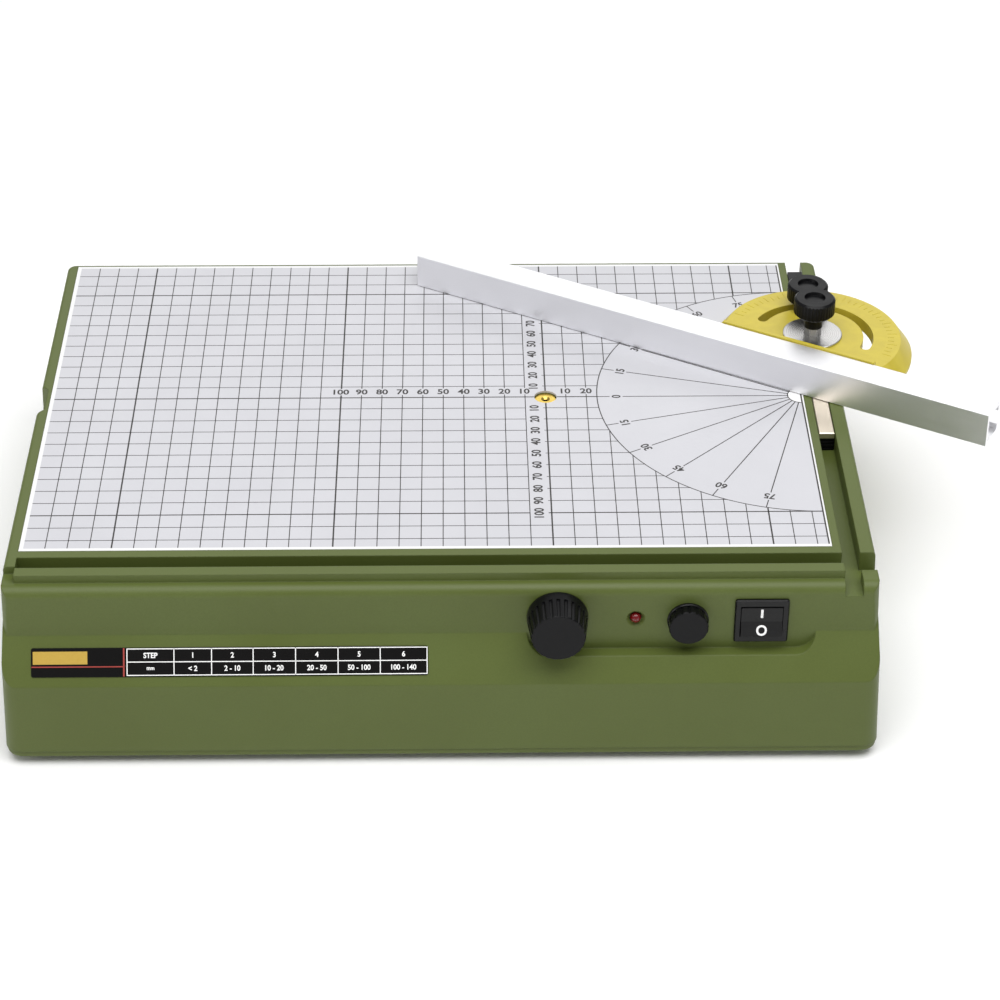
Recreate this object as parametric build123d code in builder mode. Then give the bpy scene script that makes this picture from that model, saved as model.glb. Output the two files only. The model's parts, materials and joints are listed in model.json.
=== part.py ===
"""Bench hot wire cutter with a sliding mitre gauge.

Millimetres. X runs to the operator's right, Y to the back and Z up. The origin is on the axis of
the vertical hot wire, at the level of the table top.
"""
import os
from math import cos, radians, sin, sqrt, tan

from build123d import *

os.makedirs("parts", exist_ok=True)

# ---------------------------------------------------------------- driving dimensions
# Table: distances from the wire axis to the edges of the printed work sheet.
sheet_left = 241.8
sheet_right = 126.4
sheet_front = 128.1
sheet_rear = 130.4
sheet_thick = 1.0
sheet_hole_r = 5.5

# Frame strips around the sheet, and the two grooves.
left_strip = 3.9
groove_wall = 3.8           # strip between the sheet and the right-hand guide groove
groove_width = 8.2
groove_depth = 10.0
right_strip = 5.5
front_strip = 5.0
front_groove = 7.9
lip_width = 6.2
rear_strip = 2.4
shoulder_drop = 4.0         # the front shoulder lies this far below the table top
shoulder_depth = 5.8        # from the lip to the control panel
strip_setback = 1.0         # from the lip's back corner to the end of the left strip
edge_round = 2.0
front_round = 4.9

# Body.
body_height = 88.0          # table top to the underside of the base plate
side_flare = 1.5            # the side walls stand this far outside the strips at the top
draft = 2.5                 # degrees, on all side walls
corner_r = 8.0
wall = 3.0
deck = 4.0
groove_floor = 2.0
apron_top = 29.0            # depth at which the panel turns into the sloped band
apron_bottom = 48.5
apron_reach = 13.0          # how far the sloped band comes forward
base_thick = 3.5
base_inset = 0.5

# Control panel: x and z of each control, and the pocket that continues the panel downwards.
knob_at = (1.2, -20.0)
led_at = (36.5, -21.6)
fuse_at = (60.0, -22.4)
switch_at = (93.1, -22.6)
pocket_left, pocket_right = -12.3, 118.0
pocket_bottom = -38.0
pocket_r = 9.0

# Temperature knob and potentiometer.
knob_back_r, knob_front_r, knob_length = 13.85, 12.2, 16.0
knob_skirt = 4.5            # plain length behind the flutes
knob_flutes = 24
shaft_r = 3.0
pot_thread_r = 3.6
pot_body_r, pot_body_length = 7.8, 10.0

# Lamp.
led_r, led_dish_r, led_dish_depth = 2.5, 4.2, 1.4

# Fuse holder.
fuse_cap_r, fuse_cap_length = 8.9, 5.0
fuse_flange_r, fuse_flange = 9.35, 1.4
fuse_tube_r, fuse_tube_length = 6.0, 34.0
fuse_bore_r = 4.3
fuse_r, fuse_length = 2.6, 20.0

# Rocker switch.
bezel_width, bezel_height, bezel_proud = 24.4, 23.2, 1.6
switch_width, switch_height, switch_depth = 21.6, 19.6, 22.0
rocker_width, rocker_r = 18.6, 8.0
rocker_axle_r = 1.2
rocker_tilt = 8.0           # half of the rocking angle, degrees

# Wire guide bush and lower wire clamp.
bush_flange_r, bush_body_r, bush_bore_r = 5.3, 3.6, 1.0
bush_sunk = 1.2
bush_length = 9.8

# Arm seat in the left wall.
arm_seat_width, arm_seat_depth, arm_seat_drop = 22.0, 2.0, 46.0
arm_bolt_r, arm_bolt_pitch = 2.7, 26.0

# Cord gland in the rear wall, x and z.
gland_at = (96.0, -62.0)
gland_hole_r, gland_bore_r = 7.0, 3.8

# Feet and screws.
foot_r, foot_height, foot_inset = 9.0, 4.0, 30.0
boss_r, boss_inset = 5.5, 14.0
pilot_r = 1.5
screw_head_r = 3.2

# Mitre gauge.
slider_side_gap = 0.35
slider_front, slider_back = -34.0, 121.4    # y of the slider's two ends
slider_cap = 3.0            # thickness of the metal strip on the runner
rear_block = 30.0
pivot_y = 39.5
fence_angle = -29.84        # degrees from the X axis
fence_left, fence_right = 206.0, 107.4      # from the pivot's foot to the fence's ends
fence_height, fence_depth, fence_wall = 17.5, 16.0, 2.0
fence_lip = 3.0
fence_lift = 0.4
fence_offset = 22.2         # pivot axis to the fence's back face
disc_top_r, disc_bottom_r = 44.0, 50.0
disc_top, disc_bottom, disc_plate = 11.0, 1.0, 6.5
disc_rim = 2.0              # upright part of the rim
flange_top, flange_thick = 18.6, 1.8
flange_left, flange_right = 39.6, 42.0      # from the pivot to the ends of the flange
slot_r, slot_half_angle = 27.9, 86.3
clamp_knob_r, clamp_knob_height = 10.2, 9.5
washer_r, washer_thick = 14.7, 1.0
stud_r = 2.5
shoulder_r = 4.0
running = 0.05              # radial clearance of a turning fit
gap = 0.3                   # clearance between bodies that pass each other

# ---------------------------------------------------------------- derived places
slope = tan(radians(draft))
left_x = -(sheet_left + left_strip)
groove_x0 = sheet_right + groove_wall
groove_x1 = groove_x0 + groove_width
right_x = groove_x1 + right_strip
groove_x = (groove_x0 + groove_x1) / 2
groove_back_y = -(sheet_front + front_strip)
groove_front_y = groove_back_y - front_groove
lip_y = groove_front_y - lip_width
panel_y = lip_y - shoulder_depth
rear_y = sheet_rear + rear_strip
apron_y = panel_y - apron_reach
joint_z = -(body_height - base_thick)
body_left, body_right = left_x - side_flare, right_x + side_flare
pivot = (groove_x, pivot_y)
front_wall_y = apron_y - (body_height - apron_bottom) * slope


def save(part, name):
    """Label a finished piece and write it as its own STEP file."""
    part.part.label = name
    export_step(part.part, f"parts/{name}.step")


def plan_block(front_y, inset, bottom_z, top_z, radius):
    """A rounded block with drafted walls; its sizes at the table top are the body's own."""
    grow = -bottom_z * slope - inset
    x0, x1 = body_left - grow, body_right + grow
    y0, y1 = front_y - grow, rear_y + grow
    with BuildPart() as block:
        with BuildSketch(Plane.XY.offset(bottom_z)):
            with Locations(((x0 + x1) / 2, (y0 + y1) / 2)):
                RectangleRounded(x1 - x0, y1 - y0, radius)
        extrude(amount=top_z - bottom_z, taper=draft)
    return block.part


def side_profile(points):
    """A solid as wide as the whole body, from an outline of (y, z) points."""
    with BuildPart() as prism:
        with BuildSketch(Plane.YZ.offset(body_left - 20)):
            with BuildLine():
                Polyline(*points, close=True)
            make_face()
        extrude(amount=body_right - body_left + 40)
    return prism.part


def body_form(inset, top_z, rounding=0.0):
    """Upper box plus sloped apron, pulled in by an inset: once for the outside, once for the inside."""
    far = 400.0
    lean = apron_reach / (apron_bottom - apron_top)
    shift = inset * sqrt(1 + lean**2)
    y_panel = panel_y + inset
    slope_y = panel_y + shift
    with BuildPart() as box:
        add(plan_block(panel_y, inset, joint_z, top_z, corner_r - inset))
        if rounding:
            fillet(box.faces().sort_by(Axis.Z)[-1].edges(), rounding)
        add(side_profile([(y_panel, 10), (far, 10), (far, -far), (y_panel, -far)]), mode=Mode.INTERSECT)
    with BuildPart() as apron:
        add(plan_block(apron_y + apron_bottom * slope, inset, joint_z, top_z, corner_r - inset))
        z_high, z_low = 20 - apron_top, -60 - apron_top
        outline = [(slope_y + 20 * lean, z_high), (far, z_high), (far, -far), (slope_y - 60 * lean, -far),
                   (slope_y - 60 * lean, z_low)]
        add(side_profile(outline), mode=Mode.INTERSECT)
    with BuildPart() as form:
        add(box.part)
        add(apron.part)
    return form.part


def block(x0, x1, y0, y1, z0, z1):
    """A plain box between two corners, kept apart from any part that is being built."""
    middle = Pos((x0 + x1) / 2, (y0 + y1) / 2, (z0 + z1) / 2)
    return middle * Box(x1 - x0, y1 - y0, z1 - z0, mode=Mode.PRIVATE)


panel = Plane.XZ.offset(-panel_y)
rear_wall_y = rear_y + -gland_at[1] * slope
far_out = 60.0
cavity_top = -(groove_depth + groove_floor)

# Places that several pieces share.
post_x = (body_left + boss_inset, (body_left + body_right) / 2, body_right - boss_inset)
post_y = (panel_y + boss_inset, rear_y - boss_inset)
posts = [(x, y) for x in post_x for y in post_y]
foot_x = (body_left + foot_inset, body_right - foot_inset)
foot_y = (apron_y + foot_inset, rear_y - foot_inset)
feet = [(x, y) for x in foot_x for y in foot_y]
arm_bolt_z = (-(arm_seat_drop - arm_bolt_pitch) / 2, -(arm_seat_drop + arm_bolt_pitch) / 2)
seat_x = left_x + arm_seat_depth
arm_boss_x = seat_x + 7.0
floor_z = joint_z

# ---------------------------------------------------------------- housing
# The space inside: the thin deck under the sheet, less the posts and bosses that stand in it.
with BuildPart() as cavity:
    add(body_form(wall, cavity_top))
    add(block(-sheet_left, groove_x0 - wall, groove_back_y + wall, rear_y - wall, cavity_top - 1,
              -(sheet_thick + deck)))
    add(block(pocket_left - wall, pocket_right + wall, panel_y - far_out, panel_y + wall,
              pocket_bottom - wall, -apron_top + 2), mode=Mode.SUBTRACT)
    add(block(body_left - 9, arm_boss_x, -arm_seat_width * 0.7, arm_seat_width * 0.7,
              -(arm_seat_drop + 8), 1), mode=Mode.SUBTRACT)
    with BuildSketch(Plane.XY.offset(joint_z)):
        with Locations(*posts):
            Circle(boss_r)
    extrude(amount=body_height, mode=Mode.SUBTRACT)
    with BuildSketch(Plane.XY.offset(-(bush_sunk + bush_length))):
        Circle(bush_body_r + 4)
    extrude(amount=bush_length, mode=Mode.SUBTRACT)

with BuildPart() as housing:
    add(body_form(0, 0, edge_round))
    # The front shoulder, in front of the lip and beyond its two ends. The left strip stops short of
    # the lip's corner, so that the two don't meet in a bare edge.
    add(block(body_left - 9, body_right + 9, panel_y - 9, lip_y, -shoulder_drop, 9), mode=Mode.SUBTRACT)
    add(block(body_left - 9, -sheet_left, panel_y - 9, groove_front_y + strip_setback, -shoulder_drop, 9),
        mode=Mode.SUBTRACT)
    add(block(groove_x1, body_right + 9, panel_y - 9, groove_front_y, -shoulder_drop, 9),
        mode=Mode.SUBTRACT)
    round_y, round_z = panel_y + front_round, -(shoulder_drop + front_round)
    with BuildSketch(Plane.YZ.offset(body_left - 9)):
        with Locations((round_y - front_round / 2 - 1, round_z + front_round / 2 + 1)):
            Rectangle(front_round + 2, front_round + 2)
        with Locations((round_y, round_z)):
            Circle(front_round, mode=Mode.SUBTRACT)
    extrude(amount=body_right - body_left + 18, mode=Mode.SUBTRACT)
    # Guide groove from front to back, front groove, and the recess for the work sheet.
    add(block(groove_x0, groove_x1, panel_y - 9, rear_y + 9, -groove_depth, 9), mode=Mode.SUBTRACT)
    add(block(-sheet_left, body_right + 9, groove_front_y, groove_back_y, -groove_depth, 9),
        mode=Mode.SUBTRACT)
    add(block(-sheet_left, sheet_right, -sheet_front, sheet_rear, -sheet_thick, 9), mode=Mode.SUBTRACT)
    # Seat for the foot of the wire arm, with splayed ends, and its two bolt holes.
    with BuildSketch(Plane.XY.offset(-arm_seat_drop)):
        with BuildLine():
            half = arm_seat_width / 2
            Polyline((seat_x, -half + arm_seat_depth), (seat_x, half - arm_seat_depth),
                     (seat_x - 2 * arm_seat_depth, half + arm_seat_depth),
                     (seat_x - far_out, half + arm_seat_depth), (seat_x - far_out, -half - arm_seat_depth),
                     (seat_x - 2 * arm_seat_depth, -half - arm_seat_depth), close=True)
        make_face()
    extrude(amount=arm_seat_drop + 9, mode=Mode.SUBTRACT)
    add(cavity.part, mode=Mode.SUBTRACT)
    with BuildSketch(Plane.YZ.offset(seat_x - 1)):
        with Locations(*[(0, z) for z in arm_bolt_z]):
            Circle(arm_bolt_r)
    extrude(amount=arm_boss_x - seat_x + 2, mode=Mode.SUBTRACT)
    # The pocket that carries the panel down into the sloped band, and the holes for the controls.
    with BuildSketch(panel):
        with Locations(((pocket_left + pocket_right) / 2, (pocket_bottom - shoulder_drop) / 2)):
            RectangleRounded(pocket_right - pocket_left, -pocket_bottom - shoulder_drop, pocket_r)
    extrude(amount=far_out, mode=Mode.SUBTRACT)
    with BuildSketch(panel):
        with Locations(knob_at):
            Circle(pot_thread_r + gap)
        with Locations(led_at):
            Circle(led_r + gap)
        with Locations(fuse_at):
            Circle(fuse_tube_r + gap)
        with Locations(switch_at):
            Rectangle(switch_width + 2 * gap, switch_height + 2 * gap)
    extrude(amount=-(wall + 1), mode=Mode.SUBTRACT)
    with BuildSketch(panel):
        with Locations(led_at):
            Circle(led_dish_r)
    extrude(amount=-led_dish_depth, taper=40, mode=Mode.SUBTRACT)
    # Gland hole in the rear wall, the wire hole, and the pilot holes in the posts.
    with BuildSketch(Plane.XZ.offset(-(rear_wall_y + 9))):
        with Locations(gland_at):
            Circle(gland_hole_r)
    extrude(amount=18, mode=Mode.SUBTRACT)
    with BuildSketch(Plane.XY.offset(-(bush_sunk + bush_length + 1))):
        Circle(bush_body_r)
    extrude(amount=body_height, mode=Mode.SUBTRACT)
    with BuildSketch(Plane.XY.offset(-(bush_sunk + 1.2))):
        Circle(sheet_hole_r)
    extrude(amount=9, mode=Mode.SUBTRACT)
    with BuildSketch(Plane.XY.offset(joint_z)):
        with Locations(*posts):
            Circle(pilot_r)
    extrude(amount=14, mode=Mode.SUBTRACT)
save(housing, "housing")

# ---------------------------------------------------------------- base plate
with BuildPart() as base_plate:
    add(plan_block(apron_y + apron_bottom * slope, base_inset, -body_height, joint_z, corner_r))
    fillet(base_plate.faces().sort_by(Axis.Z)[0].edges(), 1.5)
    with BuildSketch(Plane.XY.offset(-body_height)):
        with Locations(*posts, *feet):
            Circle(pilot_r + gap)
    extrude(amount=base_thick, mode=Mode.SUBTRACT)
    # Heads of the case screws sit in counterbores.
    with BuildSketch(Plane.XY.offset(-body_height)):
        with Locations(*posts):
            Circle(screw_head_r + gap)
    extrude(amount=base_thick - 1.6, mode=Mode.SUBTRACT)
    # Cooling slots under the transformer and the control board.
    with BuildSketch(Plane.XY.offset(-body_height)):
        for vent_x in (-150.0, 30.0):
            with Locations((vent_x, -10)):
                with GridLocations(9, 0, 9, 1):
                    SlotOverall(60, 4, rotation=90)
    extrude(amount=base_thick, mode=Mode.SUBTRACT)
save(base_plate, "base_plate")


# ---------------------------------------------------------------- helpers for turned and placed pieces
def turn(points, at, toward=(0, 0, 1)):
    """Revolve an outline of (radius, distance along the axis) points about an axis through `at`."""
    side = Vector(1, 0, 0)
    section = Plane(origin=at, x_dir=side, z_dir=side.cross(Vector(*toward)))
    with BuildPart() as solid:
        with BuildSketch(section):
            with BuildLine():
                Polyline(*points, close=True)
            make_face()
        revolve(axis=Axis(at, toward))
    return solid.part


def on_panel(place):
    """The point on the panel's face at a control's x and z."""
    return (place[0], panel_y, place[1])


outwards = (0, -1, 0)

# ---------------------------------------------------------------- feet and case screws
foot_head_z = -body_height - foot_height / 2
with BuildPart() as rubber_feet:
    for x, y in feet:
        add(turn([(pilot_r + gap, -body_height), (foot_r, -body_height), (foot_r, -body_height - 1),
                  (foot_r - 1, -body_height - foot_height),
                  (screw_head_r + gap, -body_height - foot_height),
                  (screw_head_r + gap, foot_head_z), (pilot_r + gap, foot_head_z)], (x, y, 0)))
save(rubber_feet, "rubber_feet")

with BuildPart() as foot_screws:
    for x, y in feet:
        add(turn([(0, foot_head_z - 1.6), (screw_head_r, foot_head_z - 1.6), (screw_head_r, foot_head_z),
                  (pilot_r, foot_head_z), (pilot_r, joint_z + 4), (0, joint_z + 4)], (x, y, 0)))
save(foot_screws, "foot_screws")

with BuildPart() as foot_nuts:
    with BuildSketch(Plane.XY.offset(joint_z)):
        with Locations(*feet):
            RegularPolygon(3.2, 6)
            Circle(pilot_r + running, mode=Mode.SUBTRACT)
    extrude(amount=2.4)
save(foot_nuts, "foot_nuts")

seat_z = -body_height + base_thick - 1.6
with BuildPart() as case_screws:
    for x, y in posts:
        add(turn([(0, seat_z - 1.6), (screw_head_r, seat_z - 1.6), (screw_head_r, seat_z),
                  (pilot_r - running, seat_z), (pilot_r - running, joint_z + 12),
                  (0, joint_z + 12)], (x, y, 0)))
save(case_screws, "case_screws")

# ---------------------------------------------------------------- work sheet and wire guide
with BuildPart() as work_sheet:
    with BuildSketch(Plane.XY.offset(-sheet_thick)):
        with Locations(((sheet_right - sheet_left) / 2, (sheet_rear - sheet_front) / 2)):
            Rectangle(sheet_left + sheet_right - 0.2, sheet_front + sheet_rear - 0.2)
        Circle(sheet_hole_r, mode=Mode.SUBTRACT)
    extrude(amount=sheet_thick)
save(work_sheet, "work_sheet")

bush_top, bush_end = -bush_sunk, -(bush_sunk + bush_length)
bush_body = bush_body_r - running
with BuildPart() as wire_bush:
    add(turn([(bush_bore_r, bush_end), (bush_body, bush_end), (bush_body, bush_top - 1.2),
              (bush_flange_r, bush_top - 1.2), (bush_flange_r, bush_top - 0.3),
              (bush_flange_r - 0.3, bush_top), (bush_bore_r + 1.2, bush_top),
              (bush_bore_r, bush_top - 0.9)], (0, 0, 0)))
save(wire_bush, "wire_bush")

# Lower end of the wire: an insulating bracket under the boss carries a brass block and its screw.
bracket_half, bracket_deep, bracket_drop = 14.0, 16.0, 34.0
with BuildPart() as wire_clamp_bracket:
    with BuildSketch(Plane.XZ.offset(-bracket_deep / 2)):
        with Locations((0, bush_end - bracket_drop / 2)):
            Rectangle(2 * bracket_half, bracket_drop)
            Rectangle(2 * bracket_half - 6, bracket_drop - 6, mode=Mode.SUBTRACT)
    extrude(amount=bracket_deep)
    with BuildSketch(Plane.XY.offset(bush_end - bracket_drop - 1)):
        Circle(bush_bore_r + 1.5)
    extrude(amount=bracket_drop + 2, mode=Mode.SUBTRACT)
save(wire_clamp_bracket, "wire_clamp_bracket")

block_z = bush_end - bracket_drop + 3
with BuildPart() as wire_clamp_block:
    with BuildSketch(Plane.XY.offset(block_z)):
        Rectangle(12, 11)
        Circle(bush_bore_r, mode=Mode.SUBTRACT)
    extrude(amount=13)
    chamfer(wire_clamp_block.edges().filter_by(Axis.Z).sort_by(Axis.Z)[:4], 0.6)
    with BuildSketch(Plane.XZ.offset(6)):
        with Locations((0, block_z + 8)):
            Circle(2.0)
    extrude(amount=-4.9, mode=Mode.SUBTRACT)
save(wire_clamp_block, "wire_clamp_block")

with BuildPart() as wire_clamp_screw:
    add(turn([(0, 0), (2.0 - running, 0), (2.0 - running, 5.0), (3.6, 5.0), (3.6, 7.4), (1.6, 7.4),
              (1.6, 6.2), (0, 6.2)], (0, -1.2, block_z + 8), outwards))
save(wire_clamp_screw, "wire_clamp_screw")

# ---------------------------------------------------------------- arm seat backing
with BuildPart() as arm_nut_plate:
    with BuildSketch(Plane.YZ.offset(arm_boss_x)):
        with Locations((0, sum(arm_bolt_z) / 2)):
            RectangleRounded(arm_seat_width, arm_bolt_pitch + 9, 2)
        with Locations(*[(0, z) for z in arm_bolt_z]):
            Circle(arm_bolt_r, mode=Mode.SUBTRACT)
    extrude(amount=4)
save(arm_nut_plate, "arm_nut_plate")

# ---------------------------------------------------------------- step table plate on the sloped band
label_left, label_right = -235.6, -57.0
label_top, label_drop, label_thick = 5.6, 13.2, 0.4
band = Plane(origin=(0, panel_y, -apron_top), x_dir=(1, 0, 0),
             z_dir=(0, -(apron_bottom - apron_top), apron_reach))
with BuildPart() as label_plate:
    with BuildSketch(band):
        with Locations(((label_left + label_right) / 2, -(label_top + label_drop / 2))):
            RectangleRounded(label_right - label_left, label_drop, 1)
    extrude(amount=label_thick)
save(label_plate, "label_plate")

# ---------------------------------------------------------------- temperature control
knob_origin = on_panel(knob_at)
knob_back, knob_end = 0.5, 0.5 + knob_length
neck_out = 4.6
hub_back = neck_out + 0.5


def knob_flute():
    """The cutter for the knob's top flute, which starts at the skirt and narrows with the knob."""
    skirt_r = knob_back_r + (knob_front_r - knob_back_r) * knob_skirt / knob_length
    with BuildPart() as flute:
        with BuildSketch(Plane.XZ.offset(-panel_y + knob_back + knob_skirt)):
            with Locations((knob_at[0], knob_at[1] + skirt_r + 0.35)):
                Circle(0.95)
        with BuildSketch(Plane.XZ.offset(-panel_y + knob_end + 0.5)):
            with Locations((knob_at[0], knob_at[1] + knob_front_r + 0.25)):
                Circle(0.85)
        loft()
    return flute.part


flute_cutter = knob_flute()
with BuildPart() as temperature_knob:
    add(turn([(shaft_r + 0.02, hub_back), (knob_back_r - 4, hub_back), (knob_back_r - 2, knob_back),
              (knob_back_r, knob_back), (knob_back_r, knob_back + 1.2), (knob_front_r, knob_end - 0.5),
              (knob_front_r - 0.5, knob_end), (0, knob_end), (0, knob_end - 2.5),
              (shaft_r + 0.02, knob_end - 2.5)], knob_origin, outwards))
    for step in range(knob_flutes):
        add(flute_cutter.rotate(Axis(knob_origin, outwards), step * 360 / knob_flutes), mode=Mode.SUBTRACT)
save(temperature_knob, "temperature_knob")

with BuildPart() as potentiometer_shaft:
    add(turn([(0, -wall - 6), (shaft_r, -wall - 6), (shaft_r, knob_end - 3.0), (0, knob_end - 3.0)],
             knob_origin, outwards))
save(potentiometer_shaft, "potentiometer_shaft")

with BuildPart() as potentiometer:
    add(turn([(0, -wall - pot_body_length), (pot_body_r, -wall - pot_body_length),
              (pot_body_r, -wall), (pot_thread_r, -wall), (pot_thread_r, neck_out),
              (shaft_r + running, neck_out), (shaft_r + running, -wall - 6.2), (0, -wall - 6.2)],
             knob_origin, outwards))
    # Solder tags below the body.
    with BuildSketch(Plane.XY.offset(knob_at[1] - pot_body_r + 1)):
        for tag in (-5, 0, 5):
            with Locations((knob_at[0] + tag, panel_y + wall + 4)):
                Rectangle(2.4, 0.8)
    extrude(amount=-8)
save(potentiometer, "potentiometer")

with BuildPart() as potentiometer_nut:
    with BuildSketch(panel):
        with Locations(knob_at):
            RegularPolygon(5.8, 6)
            Circle(pot_thread_r + running, mode=Mode.SUBTRACT)
    extrude(amount=2.2)
save(potentiometer_nut, "potentiometer_nut")

# ---------------------------------------------------------------- lamp
dome = [(led_r * sin(radians(a)), -1.2 + led_r * cos(radians(a))) for a in range(75, 0, -15)]
with BuildPart() as led_lens:
    add(turn([(0, -wall - 2.5), (led_r + 0.5, -wall - 2.5), (led_r + 0.5, -wall - 1), (led_r, -wall - 1),
              (led_r, -1.2), *dome, (0, led_r - 1.2)], on_panel(led_at), outwards))
save(led_lens, "led_lens")

with BuildPart() as led_holder:
    add(turn([(led_r + running, -wall - 1), (led_r + 2.4, -wall - 1), (led_r + 2.4, -wall),
              (led_r + running, -wall)], on_panel(led_at), outwards))
    add(turn([(0.8, -wall - 6.5), (led_r + 2.4, -wall - 6.5), (led_r + 2.4, -wall - 2.5),
              (0.8, -wall - 2.5)], on_panel(led_at), outwards))
save(led_holder, "led_holder")

# ---------------------------------------------------------------- fuse holder
fuse_origin = on_panel(fuse_at)
cap_back = fuse_flange + gap
cap_end = cap_back + fuse_cap_length
sleeve_end, fuse_start = -5.0, -3.5
with BuildPart() as fuse_holder:
    add(turn([(0, -fuse_tube_length), (fuse_tube_r, -fuse_tube_length), (fuse_tube_r, 0),
              (fuse_flange_r, 0), (fuse_flange_r, fuse_flange - 0.4), (fuse_flange_r - 0.4, fuse_flange),
              (fuse_bore_r + gap, fuse_flange), (fuse_bore_r + gap, -fuse_tube_length + 2.5),
              (0, -fuse_tube_length + 2.5)], fuse_origin, outwards))
save(fuse_holder, "fuse_holder")

with BuildPart() as fuse_holder_nut:
    with BuildSketch(Plane.XZ.offset(-(panel_y + wall))):
        with Locations(fuse_at):
            RegularPolygon(fuse_flange_r, 6)
            Circle(fuse_tube_r + running, mode=Mode.SUBTRACT)
    extrude(amount=-3.5)
save(fuse_holder_nut, "fuse_holder_nut")

with BuildPart() as fuse_cap:
    add(turn([(fuse_r + running, sleeve_end), (fuse_bore_r, sleeve_end), (fuse_bore_r, cap_back),
              (fuse_cap_r, cap_back), (fuse_cap_r, cap_end - 0.5), (fuse_cap_r - 0.5, cap_end),
              (0, cap_end), (0, fuse_start + 0.2), (fuse_r + running, fuse_start + 0.2)],
             fuse_origin, outwards))
    with BuildSketch(Plane.XZ.offset(-panel_y + cap_back)):
        with Locations(fuse_at):
            with PolarLocations(fuse_cap_r + 0.3, 16):
                Circle(0.75)
    extrude(amount=fuse_cap_length + 1, mode=Mode.SUBTRACT)
save(fuse_cap, "fuse_cap")

fuse_stop = fuse_start - fuse_length
with BuildPart() as fuse_glass:
    add(turn([(0, fuse_stop + 5), (fuse_r - 0.2, fuse_stop + 5), (fuse_r - 0.2, fuse_start - 5),
              (0, fuse_start - 5)], fuse_origin, outwards))
save(fuse_glass, "fuse_glass")

with BuildPart() as fuse_ends:
    for low, high in ((fuse_stop, fuse_stop + 5), (fuse_start - 5, fuse_start)):
        add(turn([(0, low), (fuse_r, low), (fuse_r, high), (0, high)], fuse_origin, outwards))
save(fuse_ends, "fuse_ends")

# ---------------------------------------------------------------- rocker switch
rocker_axis_out = -0.5
rocker_middle = 1.9
axle_y = panel_y - rocker_axis_out
rocker_room = rocker_r + gap
with BuildPart() as switch_body:
    with BuildSketch(panel):
        with Locations(switch_at):
            RectangleRounded(bezel_width, bezel_height, 1.2)
    extrude(amount=bezel_proud)
    chamfer(switch_body.faces().sort_by(Axis.Y)[0].edges(), 0.6)
    with BuildSketch(panel):
        with Locations(switch_at):
            Rectangle(switch_width, switch_height)
    extrude(amount=-switch_depth)
    with BuildSketch(Plane.XZ.offset(-panel_y + bezel_proud + 1)):
        with Locations(switch_at):
            Rectangle(rocker_width + 2 * gap, 2 * rocker_room)
    extrude(amount=-(bezel_proud + 1 + rocker_room + 1), mode=Mode.SUBTRACT)
    with BuildSketch(Plane.YZ.offset(switch_at[0] - rocker_width / 2 - 1.25)):
        with Locations((axle_y, switch_at[1])):
            Circle(rocker_axle_r + running)
    extrude(amount=rocker_width + 2.5, mode=Mode.SUBTRACT)
save(switch_body, "switch_body")

with BuildPart() as rocker:
    # Sketched half way between its two positions, then tipped so that the upper half is pressed.
    with BuildSketch(Plane.YZ.offset(switch_at[0] - rocker_width / 2)):
        rise = rocker_r * tan(radians(rocker_tilt))
        with Locations((axle_y, switch_at[1])):
            Circle(rocker_r)
        with BuildLine():
            front_y = panel_y - rocker_middle
            Polyline((front_y, switch_at[1]), (front_y - rise, switch_at[1] + rocker_r),
                     (axle_y + 3, switch_at[1] + rocker_r), (axle_y + 5.5, switch_at[1] + 4),
                     (axle_y + 5.5, switch_at[1] - 4), (axle_y + 3, switch_at[1] - rocker_r),
                     (front_y - rise, switch_at[1] - rocker_r), close=True)
        make_face(mode=Mode.INTERSECT)
    extrude(amount=rocker_width)
    with BuildSketch(Plane.YZ.offset(switch_at[0] - rocker_width / 2 - 1.1)):
        with Locations((axle_y, switch_at[1])):
            Circle(rocker_axle_r)
    extrude(amount=rocker_width + 2.2)
rocker.part = rocker.part.rotate(Axis((0, axle_y, switch_at[1]), (1, 0, 0)), -rocker_tilt)
save(rocker, "rocker")

with BuildPart() as switch_terminals:
    with BuildSketch(Plane.XZ.offset(-(panel_y + switch_depth))):
        with Locations(switch_at):
            with GridLocations(11, 10, 2, 2):
                Rectangle(0.8, 4.8)
    extrude(amount=-8)
save(switch_terminals, "switch_terminals")

# ---------------------------------------------------------------- transformer
coil_at = (-150.0, 62.0)
core_wide, core_deep, core_high = 66.0, 34.0, 56.0
leg, window = 22.0, 11.0
strap = 1.6
core_z = floor_z + strap
with BuildPart() as transformer_core:
    core_plane = Plane.XZ.offset(-(coil_at[1] + core_deep / 2))
    with BuildSketch(core_plane):
        with Locations((coil_at[0], core_z + core_high / 2)):
            Rectangle(core_wide, core_high)
            with GridLocations(leg + window, 0, 2, 1):
                Rectangle(window, core_high - leg, mode=Mode.SUBTRACT)
    extrude(amount=core_deep)
save(transformer_core, "transformer_core")

with BuildPart() as transformer_coil:
    coil_high = core_high - leg - 1
    with BuildSketch(Plane.XY.offset(core_z + core_high / 2 - coil_high / 2)):
        with Locations(coil_at):
            RectangleRounded(leg + 2 * window - 1, core_deep + 2 * window - 2, 5)
            Rectangle(leg + 0.6, core_deep + 0.6, mode=Mode.SUBTRACT)
    extrude(amount=coil_high)
save(transformer_coil, "transformer_coil")

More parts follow.
